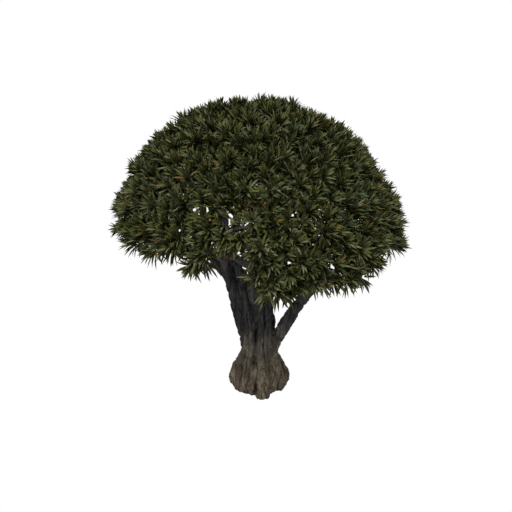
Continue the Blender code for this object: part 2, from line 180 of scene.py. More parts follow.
def as_mesh(item: bpy.types.Object) -> bpy.types.Object:
    """Turns an object with modifiers, or a curve, into a plain mesh object of the same name.

    Args:
        item: The object, which is removed.

    Returns:
        The mesh object.
    """
    name = item.name
    graph = bpy.context.evaluated_depsgraph_get()
    data = bpy.data.meshes.new_from_object(item.evaluated_get(graph))
    bpy.data.objects.remove(item)
    data.name = name
    return link(name, data)


class NodeSheet:
    """A node tree being drawn, with short calls for its nodes, wires and outer sockets.

    Attributes:
        tree: The node tree.
        inlet: The group's input node, or None in a material.
        outlet: The group's output node, or None in a material.
    """

    def __init__(self, tree: bpy.types.NodeTree) -> None:
        """Starts on a tree, and gives it its input and output node where it is a group."""
        self.tree = tree
        self.inlet = None
        self.outlet = None

    @classmethod
    def group(cls, name: str, kind: str) -> "NodeSheet":
        """Starts a new node group.

        Args:
            name: The group's name.
            kind: GeometryNodeTree or ShaderNodeTree.

        Returns:
            The sheet, with its input and output nodes placed.
        """
        sheet = cls(bpy.data.node_groups.new(name, kind))
        sheet.inlet = sheet.tree.nodes.new("NodeGroupInput")
        sheet.outlet = sheet.tree.nodes.new("NodeGroupOutput")
        return sheet

    def socket(
        self, name: str, kind: str, value: object = None, outgoing: bool = False
    ) -> bpy.types.NodeSocket:
        """Adds an outer socket.

        Args:
            name: The socket's name.
            kind: Its type, without the words NodeSocket.
            value: Its default.
            outgoing: True for an output.

        Returns:
            The socket inside the group that stands for it.
        """
        made = self.tree.interface.new_socket(
            name, in_out="OUTPUT" if outgoing else "INPUT", socket_type=f"NodeSocket{kind}"
        )
        if value is not None:
            made.default_value = value
        side = self.outlet.inputs if outgoing else self.inlet.outputs
        return side[name]

    def node(self, kind: str, inputs: dict | None = None, **settings: object) -> bpy.types.Node:
        """Adds a node.

        Args:
            kind: The node's type.
            inputs: Values or sockets for its inputs, by name or number.
            settings: Its own settings.

        Returns:
            The node.
        """
        made = self.tree.nodes.new(kind)
        for name, value in settings.items():
            setattr(made, name, value)
        for key, value in (inputs or {}).items():
            if isinstance(value, bpy.types.NodeSocket):
                self.tree.links.new(value, made.inputs[key])
            else:
                made.inputs[key].default_value = value
        return made

    def math(self, operation: str, *values: object) -> bpy.types.NodeSocket:
        """Adds a Math node and returns its result."""
        made = self.node("ShaderNodeMath", dict(enumerate(values)), operation=operation)
        return made.outputs[0]

    def vector_math(self, operation: str, first: object, second: object) -> bpy.types.NodeSocket:
        """Adds a Vector Math node for two vectors and returns its vector."""
        made = self.node("ShaderNodeVectorMath", {0: first, 1: second}, operation=operation)
        return made.outputs["Vector"]

    def scaled(self, vector: object, share: object) -> bpy.types.NodeSocket:
        """Adds a Vector Math node that scales a vector and returns the result."""
        made = self.node("ShaderNodeVectorMath", {0: vector, "Scale": share}, operation="SCALE")
        return made.outputs["Vector"]

    def noise(
        self, place: bpy.types.NodeSocket, scale: object, detail: float, roughness: float = 0.5
    ) -> bpy.types.Node:
        """Adds a Noise Texture node.

        Args:
            place: Where it is read.
            scale: How finely it varies.
            detail: How many finer layers it has.
            roughness: How strong those are.

        Returns:
            The node.
        """
        inputs = {"Vector": place, "Scale": scale, "Detail": detail, "Roughness": roughness}
        return self.node("ShaderNodeTexNoise", inputs)

    def edge_distance(self, place: bpy.types.NodeSocket, scale: float) -> bpy.types.NodeSocket:
        """Adds a Voronoi node and returns how far a place is from the edges of its cells."""
        inputs = {"Vector": place, "Scale": scale}
        made = self.node("ShaderNodeTexVoronoi", inputs, feature="DISTANCE_TO_EDGE")
        return made.outputs["Distance"]

    def ramp(
        self,
        value: bpy.types.NodeSocket,
        span: tuple[object, object] = (0.0, 1.0),
        results: tuple[float, float] = (0.0, 1.0),
        kind: str = "LINEAR",
    ) -> bpy.types.NodeSocket:
        """Adds a Map Range node.

        Args:
            value: What is mapped.
            span: Its values between which the result changes.
            results: The results there.
            kind: The course between them.

        Returns:
            The result.
        """
        names = ("From Min", "From Max", "To Min", "To Max")
        inputs = {"Value": value, **dict(zip(names, (*span, *results)))}
        return self.node("ShaderNodeMapRange", inputs, interpolation_type=kind).outputs["Result"]

    def mixed(
        self, share: object, first: object, second: object, blend: str = "MIX"
    ) -> bpy.types.NodeSocket:
        """Adds a Mix node for two colours and returns the mixed one."""
        inputs = {0: share, 6: first, 7: second}
        made = self.node("ShaderNodeMix", inputs, data_type="RGBA", blend_type=blend)
        return made.outputs[2]

    def attribute(self, name: str, kind: str) -> bpy.types.NodeSocket:
        """Reads a named attribute in a geometry tree."""
        made = self.node("GeometryNodeInputNamedAttribute", {"Name": name}, data_type=kind)
        return made.outputs["Attribute"]

    def done(self, result: bpy.types.NodeSocket, name: str) -> None:
        """Wires a result to the group's output of that name."""
        self.tree.links.new(result, self.outlet.inputs[name])

    def finished(self, shape: bpy.types.NodeSocket, finish: bpy.types.NodeSocket) -> None:
        """Ends a geometry tree.

        Args:
            shape: The geometry, which is shaded smooth and made real.
            finish: The material that it gets.
        """
        for kind in ("GeometryNodeSetShadeSmooth", "GeometryNodeRealizeInstances"):
            shape = self.node(kind, {"Geometry": shape}).outputs[0]
        dressed = self.node("GeometryNodeSetMaterial", {"Geometry": shape, "Material": finish})
        self.done(dressed.outputs[0], "Geometry")


def grown(item: bpy.types.Object, tree: bpy.types.NodeTree, values: dict[str, object]) -> None:
    """Puts a Geometry Nodes modifier on an object.

    Args:
        item: The object.
        tree: The geometry tree.
        values: Values for the tree's inputs, by name.
    """
    modifier = item.modifiers.new(tree.name, "NODES")
    modifier.node_group = tree
    for socket in tree.interface.items_tree:
        if socket.in_out == "INPUT" and socket.name in values:
            modifier[socket.identifier] = values[socket.name]


@dataclass(frozen=True)
class Crown:
    """The tilted dome that the leaf tips reach.

    Attributes:
        radius: Trunk's axis to the furthest leaf tips.
        rim_height: Where the dome is widest.
        height: From there to its apex.
        tilt: The crown's rise for each metre along X and Y.
        lean: How far its apex stands towards +X from over the trunk's axis.
        shoulder: Share by which the dome is slimmer than round, half-way up.
        depth: Of a mass's middle under the surface.
        rings: Name, count, degrees from the apex and first azimuth of each ring of masses.
        hem: Azimuths, each with how many degrees from the apex the lowest rosettes sit there.
        openings: Where the sky shows through, as azimuth, degrees from the apex and radius.
        opening_depth: Under the surface, where that place is meant.
        opening_reach: How near a rosette is for its leaves to make room.
        sight: The place from where the openings are seen.
    """

    radius: float = 3.72
    rim_height: float = 4.75
    height: float = 3.28
    tilt: tuple[float, float] = (-0.05, 0.02)
    lean: float = 0.04
    shoulder: float = 0.062
    depth: float = 0.45
    rings: tuple[tuple[str, int, float, float], ...] = (
        ("top", 3, 18.0, 30.0),
        ("middle", 9, 47.0, -50.0),
        ("rim", 12, 76.0, -50.0),
    )
    hem: tuple[tuple[float, float], ...] = (
        (0.0, 89.0),
        (150.0, 89.0),
        (180.0, 83.0),
        (195.0, 83.0),
        (208.0, 83.8),
        (225.0, 84.5),
        (234.0, 79.0),
        (239.0, 81.0),
        (242.0, 84.5),
        (249.0, 86.0),
        (251.0, 71.0),
        (263.0, 71.0),
        (267.0, 88.0),
        (290.0, 86.0),
        (298.0, 88.5),
        (310.0, 92.0),
        (319.0, 94.0),
        (323.0, 84.0),
        (335.0, 79.0),
        (341.0, 85.0),
        (346.0, 92.0),
        (360.0, 91.0),
    )
    openings: tuple[tuple[float, float, float], ...] = (
        (258.5, 61.0, 0.064),
        (255.5, 78.0, 0.064),
        (266.5, 63.0, 0.035),
        (263.0, 64.5, 0.065),
        (259.5, 66.0, 0.085),
        (257.0, 63.5, 0.090),
        (294.5, 79.0, 0.048),
        (279.5, 76.0, 0.044),
        (267.5, 67.0, 0.050),
        (331.0, 85.0, 0.050),
        (308.0, 86.0, 0.046),
        (252.0, 75.0, 0.046),
        (245.5, 71.0, 0.050),
        (235.5, 57.0, 0.046),
        (282.5, 60.0, 0.045),
        (265.5, 77.0, 0.045),
        (248.5, 60.0, 0.045),
    )
    opening_depth: float = 0.25
    opening_reach: float = 1.1
    sight: Vector = Vector((-0.077, -12.957, 10.042))

    def sky(self, place: Vector) -> list[tuple[Vector, Vector, float]]:
        """Finds the openings near a place.

        Args:
            place: Where a rosette sits.

        Returns:
            A point, a direction and a radius of each opening's line of sight.
        """
        found = []
        for azimuth, polar, radius in self.openings:
            middle = self.surface(azimuth, polar, self.opening_depth)
            if (middle - place).length < self.opening_reach:
                found.append((middle, (middle - self.sight).normalized(), radius))
        return found

    def lowest(self, azimuth: float) -> float:
        """Degrees from the apex of the lowest rosettes at an azimuth."""
        for (first, low), (last, high) in zip(self.hem, self.hem[1:]):
            if first <= azimuth <= last:
                return low + (high - low) * (azimuth - first) / (last - first)
        return self.hem[-1][1]

    def rise(self, point: Vector) -> float:
        """How far the tilt lifts the crown at a point."""
        return self.tilt[0] * point.x + self.tilt[1] * point.y

    def surface(self, azimuth: float, polar: float, depth: float) -> Vector:
        """Finds a point under the crown's outer surface.

        Args:
            azimuth: Degrees from +X towards +Y.
            polar: Degrees from the apex.
            depth: Under the surface.

        Returns:
            The point.
        """
        slope = math.radians(polar)
        height = self.rim_height + (self.height - depth) * math.cos(slope)
        width = math.sin(slope) * (1 - self.shoulder * math.sin(2 * slope) ** 2)
        level = at(azimuth, (self.radius - depth) * width, height)
        leaning = Vector((self.lean * max(0.0, math.cos(slope)), 0.0, 0.0))
        return level + UP * self.rise(level) + leaning

    def normal(self, point: Vector) -> Vector:
        """Outward direction of the crown's surface near a point."""
        over = point.z - self.rim_height - self.rise(point)
        leaning = self.lean * max(0.0, over) / self.height
        across = Vector((point.x - leaning, point.y, 0.0)) / self.radius**2
        return (across + UP * over / self.height**2).normalized()

    def centres(self) -> dict[str, Vector]:
        """Middle of each mass of foliage, by the mass's name."""
        made = {}
        for ring, count, polar, first in self.rings:
            for step in range(count):
                azimuth = first + step * 360 / count
                made[f"{ring}_{step + 1:02d}"] = self.surface(azimuth, polar, self.depth)
        return made


@dataclass(frozen=True)
class Stem:
    """One of the six upright limbs.

    Attributes:
        name: Its side of the tree.
        azimuth: Degrees from +X towards +Y.
        neck: Distance from the axis at the trunk's neck.
        fork: The same at the fork's height.
        elbow: The same where the stems begin to spread.
        part_height: Where it parts from the trunk.
    """

    name: str
    azimuth: float
    neck: float
    fork: float
    elbow: float
    part_height: float


@dataclass(frozen=True)
class Limbs:
    """The stems and their side boughs, by the part's own rule.

    Attributes:
        crown: The dome that they rise into.
        stems: The six stems.
        neck_height: The trunk's narrowest place.
        fork_height: Where the stems are free of each other.
        elbow_height: Where they begin to spread.
        stem_radii: At the neck and at the tip.
        bough_radii: The largest where a bough leaves its stem, and at its tip.
        bough_shares: Of the stem's free length, where its boughs leave.
        bough_rise: How steeply they leave it.
        bough_share: Of its stem's radius, which no bough goes beyond.
        hub_height: The boughs spread as if from this point of the axis.
        hub_share: Of the way from there to the mass's middle, where a limb ends.
    """

    crown: Crown
    stems: tuple[Stem, ...] = (
        Stem("right", -30.0, 0.39, 1.03, 1.50, 1.85),
        Stem("right_back", 30.0, 0.24, 0.28, 0.53, 3.00),
        Stem("back", 90.0, 0.26, 0.54, 0.90, 3.00),
        Stem("left_back", 150.0, 0.26, 0.52, 0.85, 3.00),
        Stem("left", 203.0, 0.29, 0.64, 0.86, 2.60),
        Stem("front", 255.0, 0.26, 0.38, 0.62, 3.00),
    )
    neck_height: float = 1.30
    fork_height: float = 2.70
    elbow_height: float = 3.70
    stem_radii: tuple[float, float] = (0.20, 0.085)
    bough_radii: tuple[float, float] = (0.120, 0.075)
    bough_shares: tuple[float, ...] = (0.32, 0.48, 0.64)
    bough_rise: float = 0.5
    bough_share: float = 0.85
    hub_height: float = 3.9
    hub_share: float = 0.60

    def masses(self, number: int) -> tuple[str, ...]:
        """Masses that a stem carries: the one at its own tip, then one for each side bough."""
        rim = (f"rim_{2 * number + 1:02d}", f"rim_{2 * number + 2:02d}")
        middle = number // 2 * 3
        if number % 2:
            return (f"top_{number // 2 + 1:02d}", *rim, f"middle_{middle + 3:02d}")
        return (f"middle_{middle + 1:02d}", *rim, f"middle_{middle + 2:02d}")

    def end(self, centre: Vector) -> tuple[Vector, Vector]:
        """Where the limb that carries a mass ends, and its direction there."""
        tip = Vector((0, 0, self.hub_height)).lerp(centre, self.hub_share)
        return tip, (centre - tip).normalized()

    def stem_line(self, stem: Stem, centre: Vector) -> Line:
        """Draws a stem.

        Args:
            stem: Which stem.
            centre: Middle of the mass at its tip.

        Returns:
            Its line, from inside the trunk to its tip.
        """
        tip, heading = self.end(centre)
        knots = [
            at(stem.azimuth, stem.neck, self.neck_height / 2),
            at(stem.azimuth, stem.neck, self.neck_height),
            at(stem.azimuth, stem.fork, self.fork_height),
            at(stem.azimuth, stem.elbow, self.elbow_height),
        ]
        rising = (tip - knots[-2]).normalized()
        lower = smooth_line(knots, CURVE_POINTS, tip)
        upper = arched_line(knots[-1], rising, heading, tip, 10)
        first, last = self.stem_radii
        line = []
        for point in [*lower, *upper[1:]]:
            share = max(0.0, (point.z - self.neck_height) / (tip.z - self.neck_height))
            line.append((point, first + (last - first) * share))
        return line

    def bough_line(self, stem: Line, part_height: float, share: float, centre: Vector) -> Line:
        """Draws a side bough.

        Args:
            stem: The line of the stem that carries it.
            part_height: Where that stem parts from the trunk.
            share: Of the stem's free length, where the bough leaves.
            centre: Middle of the mass at its tip.

        Returns:
            Its line, from inside its stem to its tip.
        """
        top = stem[-1][0].z
        start, radius = crossing(stem, part_height + (top - part_height) * share)
        tip, heading = self.end(centre)
        rise = self.bough_rise * (tip - start).length
        leaving = Vector((tip.x - start.x, tip.y - start.y, rise)).normalized()
        first, last = self.bough_radii
        line = arched_line(start, leaving, heading, tip, 12)
        return with_radii(line, min(first, self.bough_share * radius), last)

    def lines(self) -> list[Line]:
        """Lines of all the stems and boughs."""
        centres = self.crown.centres()
        made = []
        for number, stem in enumerate(self.stems):
            own, *side = self.masses(number)
            line = self.stem_line(stem, centres[own])
            made.append(line)
            for share, mass in zip(self.bough_shares, side):
                made.append(self.bough_line(line, stem.part_height, share, centres[mass]))
        return made


@dataclass(frozen=True)
class Ropes:
    """Upright ropes of wood that flute the bark and part in narrow clefts.

    Attributes:
        size: Width of a rope.
        stretch: How many times longer it is.
        wander: How far the ropes stray sideways.
        cleft: Width of the clefts, as a share of a rope's.
    """

    size: float = 0.19
    stretch: float = 9.0
    wander: float = 0.30
    cleft: float = 0.10

    def ridge(self, sheet: NodeSheet, place: bpy.types.NodeSocket) -> bpy.types.NodeSocket:
        """Draws the nodes that tell how far a place is from the nearest cleft.

        Args:
            sheet: A shader or a geometry tree.
            place: The place.

        Returns:
            0 in a cleft and 1 on a rope.
        """
        sway = sheet.noise(place, 1.4, 1.0)
        centred = sheet.vector_math("SUBTRACT", sway.outputs["Color"], (0.5, 0.5, 0.5))
        moved = sheet.vector_math("MULTIPLY", centred, (self.wander, self.wander, 0.0))
        strayed = sheet.vector_math("ADD", place, moved)
        drawn = sheet.vector_math("MULTIPLY", strayed, (1.0, 1.0, 1.0 / self.stretch))
        off = sheet.edge_distance(drawn, 1.0 / self.size)
        return sheet.ramp(off, (0.0, self.cleft), kind="SMOOTHSTEP")


def bark_tones(ropes: Ropes) -> bpy.types.NodeTree:
    """Draws the shader group that colours bark, paints light and shade into that colour, and gives
    its fine relief.

    Args:
        ropes: The flutes, whose clefts get painted shade.

    Returns:
        The group: foot and top colours and heights in, colour, roughness and height out.
    """
    sheet = NodeSheet.group("bark_tones", "ShaderNodeTree")
    foot = sheet.socket("Foot colour", "Color", (0.10, 0.08, 0.06, 1.0))
    top = sheet.socket("Top colour", "Color", (0.03, 0.03, 0.03, 1.0))
    low = sheet.socket("Foot height", "Float", 0.3)
    high = sheet.socket("Top height", "Float", 3.0)
    # How strongly the streaks' grain, painted light on ridges and painted shade in cracks, clefts
    # and valleys tone the colour.
    grain = sheet.socket("Grain", "Float", 1.0)
    for name, kind in (("Color", "Color"), ("Roughness", "Float"), ("Height", "Float")):
        sheet.socket(name, kind, outgoing=True)
    place = sheet.node("ShaderNodeTexCoord").outputs["Object"]
    height = sheet.node("ShaderNodeSeparateXYZ", {0: place}).outputs["Z"]
    # The foot's colour gives way to the top's, along a blotchy border. The darkening up the trunk
    # is partly the bark's own tone and partly painted shade from the crown.
    blotch = sheet.noise(place, 3.4, 5.0).outputs["Fac"]
    shifted = sheet.math("MULTIPLY_ADD", blotch, 1.6, height)
    climb = sheet.ramp(sheet.math("SUBTRACT", shifted, 0.8), (low, high))
    base = sheet.mixed(climb, foot, top)
    # Long fibres, the cracks between plates and the ropes' clefts make up the relief.
    stretched = sheet.vector_math("MULTIPLY", place, (1.0, 1.0, 0.20))
    streak = sheet.noise(stretched, 16.0, 6.0, 0.62).outputs["Fac"]
    plates = sheet.edge_distance(sheet.vector_math("MULTIPLY", place, (1.0, 1.0, 0.45)), 15.0)
    cracked = sheet.math("MULTIPLY_ADD", sheet.ramp(plates, (0.0, 0.10)), 0.22, 0.78)
    cleft = sheet.math("MULTIPLY_ADD", ropes.ridge(sheet, place), 0.45, 0.55)
    relief = sheet.math("MULTIPLY", streak, sheet.math("MULTIPLY", cracked, cleft))
    # Painted light and shade: the relief's ridges are lightened and its cracks and clefts
    # darkened, and broad upright bands paint the shade of the valleys between ribs. The long
    # fibres' streaks in it are the bark's own grain.
    valley_shade = sheet.noise(stretched, 5.5, 2.0).outputs["Fac"]
    lit = sheet.ramp(relief, (0.16, 0.58), (0.30, 1.60))
    shade = sheet.math("MULTIPLY", lit, sheet.ramp(valley_shade, (0.38, 0.60), (0.55, 1.12)))
    colour = sheet.mixed(1.0, base, sheet.mixed(grain, (1.0, 1.0, 1.0, 1.0), shade), "MULTIPLY")
    sheet.done(colour, "Color")
    sheet.done(sheet.math("MULTIPLY_ADD", streak, -0.2, 1.0), "Roughness")
    sheet.done(relief, "Height")
    return sheet.tree


@dataclass(frozen=True)
class BarkFinish:
    """Bark that is brown at the foot and darker and greyer up the limbs; the darkening is partly
    its own tone and partly painted shade from the crown.

    Attributes:
        name: The material's name.
        foot: Colour at the ground.
        top: Colour in the crown.
        foot_height: Up to which the foot's colour holds.
        top_height: From which the top's colour holds.
        grain: How strongly streaks, painted light on ridges and painted shade in cracks, clefts
            and valleys tone it.
        bump: Depth of the fine relief.
    """

    name: str
    foot: tuple[float, float, float]
    top: tuple[float, float, float]
    foot_height: float = 0.3
    top_height: float = 3.0
    grain: float = 1.0
    bump: float = 0.02

    def material(self, tones: bpy.types.NodeTree) -> bpy.types.Material:
        """Makes the material.

        Args:
            tones: The bark_tones group.

        Returns:
            The material.
        """
        made = bpy.data.materials.new(self.name)
        made.use_nodes = True
        sheet = NodeSheet(made.node_tree)
        values = {
            "Foot colour": (*self.foot, 1.0),
            "Top colour": (*self.top, 1.0),
            "Foot height": self.foot_height,
            "Top height": self.top_height,
            "Grain": self.grain,
        }
        group = sheet.node("ShaderNodeGroup", node_tree=tones)
        for name, value in values.items():
            group.inputs[name].default_value = value
        bump = sheet.node("ShaderNodeBump", {"Height": group.outputs["Height"]})
        bump.inputs["Distance"].default_value = self.bump
        shader = made.node_tree.nodes["Principled BSDF"]
        wires = made.node_tree.links
        wires.new(group.outputs["Color"], shader.inputs["Base Color"])
        wires.new(group.outputs["Roughness"], shader.inputs["Roughness"])
        wires.new(bump.outputs["Normal"], shader.inputs["Normal"])
        shader.inputs["Specular IOR Level"].default_value = 0.15
        return made


def bark_relief(ropes: Ropes) -> bpy.types.NodeTree:
    """Draws the geometry tree that presses clefts, furrows and lumps into the bark.

    Args:
        ropes: The flutes.

    Returns:
        The tree, with the sizes and depths of lumps, furrows and clefts as inputs.
    """
    sheet = NodeSheet.group("bark_relief", "GeometryNodeTree")
    wood = sheet.socket("Geometry", "Geometry")
    lump_size = sheet.socket("Lump size", "Float", 0.35)
    lump_depth = sheet.socket("Lump depth", "Float", 0.03)
    furrow_size = sheet.socket("Furrow size", "Float", 0.1)
    furrow_depth = sheet.socket("Furrow depth", "Float", 0.02)
    cleft_depth = sheet.socket("Cleft depth", "Float", 0.03)
    stretch = sheet.socket("Stretch", "Float", 4.0)
    finish = sheet.socket("Finish", "Material")
    sheet.socket("Geometry", "Geometry", outgoing=True)
    place = sheet.node("GeometryNodeInputPosition").outputs[0]
    height = sheet.node("ShaderNodeSeparateXYZ", {0: place}).outputs["Z"]
    # The thinner limbs above the fork get less of it.
    strength = sheet.ramp(height, (3.0, 4.2), (1.0, 0.35))
    normal = sheet.node("GeometryNodeInputNormal").outputs[0]
    lump = sheet.noise(place, sheet.math("DIVIDE", 1.0, lump_size), 2.0).outputs["Fac"]
    shorter = sheet.node(
        "ShaderNodeCombineXYZ", {"X": 1.0, "Y": 1.0, "Z": sheet.math("DIVIDE", 1.0, stretch)}
    ).outputs[0]
    drawn = sheet.vector_math("MULTIPLY", place, shorter)
    furrow = sheet.noise(drawn, sheet.math("DIVIDE", 1.0, furrow_size), 3.0, 0.6).outputs["Fac"]
    # A furrow lies where the noise passes its middle value.
    ridge = sheet.math("ABSOLUTE", sheet.math("SUBTRACT", furrow, 0.5))
    ridge = sheet.math("MINIMUM", sheet.math("MULTIPLY", ridge, 6.0), 1.0)
    depth = sheet.math("MULTIPLY", sheet.math("SUBTRACT", lump, 0.5), lump_depth)
    depth = sheet.math("MULTIPLY_ADD", sheet.math("SUBTRACT", ridge, 1.0), furrow_depth, depth)
    sunk = sheet.math("SUBTRACT", ropes.ridge(sheet, place), 1.0)
    depth = sheet.math("MULTIPLY_ADD", sunk, cleft_depth, depth)
    depth = sheet.math("MULTIPLY", depth, strength)
    moved = sheet.node(
        "GeometryNodeSetPosition", {"Geometry": wood, "Offset": sheet.scaled(normal, depth)}
    )
    sheet.finished(moved.outputs[0], finish)
    return sheet.tree


@dataclass(frozen=True)
class Hollow:
    """A dark slit between two ropes of the trunk.

    Attributes:
        azimuth: Where it is on the trunk.
        height: Of its middle.
        width: Half of its width.
        length: Half of its length.
        depth: How far it goes in.
        lean: How far it strays sideways for each metre of height.
    """

    azimuth: float
    height: float
    width: float
    length: float
    depth: float
    lean: float = 0.0

    def press(self, places: np.ndarray) -> None:
        """Presses the slit into the points of a trunk.

        Args:
            places: The points, which are moved.
        """
        turn = math.radians(self.azimuth)
        out = np.array((math.cos(turn), math.sin(turn), 0.0))
        beside = np.array((-math.sin(turn), math.cos(turn), 0.0))
        rel = places - np.array((0.0, 0.0, self.height))
        aside = rel @ beside - self.lean * rel[:, 2]
        off = (aside / self.width) ** 2 + (rel[:, 2] / self.length) ** 2
        share = np.where(rel @ out > 0, np.clip(1 - off, 0, 1), 0)
        places -= np.outer(self.depth * share, out)


@dataclass(frozen=True)
class Wood:
    """The trunk with its root toes and fused strands, and the limbs, as one skin of bark.

    Attributes:
        limbs: The stems and boughs.
        ropes: The flutes of the bark.
        flare_radius: Furthest reach of the root toes.
        flare_height: Where they reach it.
        foot_share: Of that reach, at the ground.
        neck_radius: Of the wood behind the stems.
        core_height: Top of that wood.
        toe_places: Azimuth, share of the full reach and size of every root toe.
        toe_radius: Of a toe at the ground.
        toe_top: Where the toes run out.
        below_ground: How deep the wood goes before it is cut level.
        strand_count: Upright strands that flute the trunk.
        strand_radius: Of such a strand.
        grain_size: Edge of the skin's faces.
        cut_height: Where the skin is cut into a piece for the trunk and one for the limbs.
        over_all: A height over all the wood.
        ribs: Places and radii along the ribs that stand out in front.
        hollows: The dark slits.
        seed: For what varies from strand to strand.
    """

    limbs: Limbs
    ropes: Ropes
    flare_radius: float = 0.91
    flare_height: float = 0.32
    foot_share: float = 0.84
    neck_radius: float = 0.43
    core_height: float = 2.95
    toe_places: tuple[tuple[float, float, float], ...] = (
        (279.0, 0.97, 1.10),
        (252.0, 0.78, 0.85),
        (228.0, 0.80, 0.80),
        (205.0, 0.94, 1.00),
        (182.0, 1.00, 1.05),
        (157.0, 0.98, 0.95),
        (131.0, 1.00, 1.05),
        (104.0, 0.96, 0.90),
        (78.0, 1.00, 1.05),
        (51.0, 0.97, 0.95),
        (26.0, 1.00, 1.00),
        (2.0, 1.02, 1.05),
        (337.0, 0.92, 0.90),
        (312.0, 0.78, 0.80),
    )
    toe_radius: float = 0.21
    toe_top: float = 1.60
    below_ground: float = 0.20
    strand_count: int = 15
    strand_radius: float = 0.095
    grain_size: float = 0.019
    cut_height: float = 3.6
    over_all: float = 12.0
    ribs: tuple[tuple[tuple[float, float, float, float], ...], ...] = (
        (
            (-0.22, -0.44, 0.70, 0.10),
            (-0.20, -0.38, 1.60, 0.12),
            (-0.27, -0.38, 2.50, 0.13),
            (-0.43, -0.40, 3.45, 0.14),
            (-0.58, -0.42, 4.10, 0.11),
        ),
        (
            (0.22, -0.48, 0.70, 0.09),
            (0.23, -0.38, 1.60, 0.11),
            (0.25, -0.31, 2.50, 0.10),
            (0.22, -0.29, 3.50, 0.10),
            (0.20, -0.30, 4.20, 0.08),
        ),
        (
            (0.02, -0.56, 0.60, 0.09),
            (0.03, -0.45, 1.40, 0.10),
            (0.04, -0.41, 2.20, 0.12),
            (0.00, -0.38, 3.10, 0.12),
            (-0.06, -0.38, 3.90, 0.10),
        ),
    )
    hollows: tuple[Hollow, ...] = (
        Hollow(259.0, 1.90, 0.045, 0.26, 0.16),
        Hollow(252.0, 1.05, 0.045, 0.24, 0.14),
        Hollow(262.0, 0.26, 0.060, 0.24, 0.22),
        Hollow(283.0, 1.62, 0.030, 0.12, 0.08),
        Hollow(218.0, 3.20, 0.050, 0.85, 0.22, -0.10),
        Hollow(241.0, 2.95, 0.040, 0.75, 0.16, -0.09),
        Hollow(288.0, 2.55, 0.040, 0.70, 0.14),
        Hollow(232.0, 0.75, 0.045, 0.40, 0.10),
        Hollow(299.0, 0.80, 0.045, 0.40, 0.10),
    )
    seed: int = 10

    def toes(self) -> list[Line]:
        """Draws the root toes, from the neck down into the ground."""
        lines = []
        for azimuth, share, size in self.toe_places:
            reach = share * self.flare_radius - self.toe_radius * size
            knots = [
                at(azimuth, 0.6 * self.neck_radius, self.toe_top * size),
                at(azimuth, 0.9 * self.neck_radius, self.limbs.neck_height * 0.8),
                at(azimuth, reach, self.flare_height),
                at(azimuth, reach * self.foot_share, 0),
                at(azimuth, reach * self.foot_share, -self.below_ground),
            ]
            thickness = 1.1 * self.toe_radius * size
            line = smooth_line(knots, CURVE_POINTS)
            lines.append(with_radii(line, 0.5 * self.toe_radius, thickness))
        return lines

    def strands(self) -> list[Line]:
        """Draws the fluting strands, from the root toes up between the stems."""
        chance = random.Random(self.seed)
        lines = []
        for number in range(self.strand_count):
            azimuth = number * 360 / self.strand_count + chance.uniform(-9, 9)
            drift = chance.uniform(-14, 14)
            knots = [
                at(azimuth - drift, 0.70 * self.flare_radius, 0.25),
                at(azimuth, 0.96 * self.neck_radius, 0.75 * self.limbs.neck_height),
                at(azimuth + drift, 0.90 * self.neck_radius, 1.4 * self.limbs.neck_height),
                at(azimuth + 1.5 * drift, 0.78 * self.neck_radius, 0.86 * self.core_height),
            ]
            line = smooth_line(knots, CURVE_POINTS)
            size = self.strand_radius * chance.uniform(0.8, 1.25)
            lines.append(with_radii(line, 1.15 * size, 0.7 * size))
        return lines

    def front_ribs(self) -> list[Line]:
        """Draws the ribs that stand out in front, up to where the stems part."""
        lines = []
        for rib in self.ribs:
            points = smooth_line([Vector(knot[:3]) for knot in rib], CURVE_POINTS)
            line = []
            for number, point in enumerate(points):
                place = number / (len(points) - 1) * (len(rib) - 1)
                low = min(int(place), len(rib) - 2)
                first, last = rib[low][3], rib[low + 1][3]
                line.append((point, first + (last - first) * (place - low)))
            lines.append(line)
        return lines

    def core(self) -> Line:
        """Draws the wood behind toes and strands as one tapering post."""
        radii = (
            (-self.below_ground, 0.58 * self.flare_radius),
            (0.0, 0.60 * self.flare_radius),
            (self.flare_height, 0.70 * self.flare_radius),
            (1.5 * self.flare_height, 0.68 * self.flare_radius),
            (0.7 * self.limbs.neck_height, 0.94 * self.neck_radius),
            (1.4 * self.limbs.neck_height, 0.72 * self.neck_radius),
            (0.96 * self.core_height, 0.55 * self.neck_radius),
        )
        return [(UP * height, radius) for height, radius in radii]

    def skin(self) -> bpy.types.Object:
        """Fuses all the round pieces into one even skin.

        Returns:
            The mesh object, still without its bark relief.
        """
        trunk = [self.core(), *self.toes(), *self.strands(), *self.front_ribs()]
        raw = tubes_curve("bark", [*trunk, *self.limbs.lines()])
        raw.data.bevel_depth = 1.0
        raw.data.bevel_resolution = 6
        raw.data.use_fill_caps = True
        solid = as_mesh(raw)
        bm = bmesh.new()
        bm.from_mesh(solid.data)
        bmesh.ops.remove_doubles(bm, verts=bm.verts, dist=WELD)
        bm.to_mesh(solid.data)
        bm.free()
        remesh = solid.modifiers.new("fuse", "REMESH")
        remesh.mode = "VOXEL"
        remesh.voxel_size = self.grain_size
        smooth = solid.modifiers.new("settle", "SMOOTH")
        smooth.factor = 0.5
        smooth.iterations = 4
        return solid

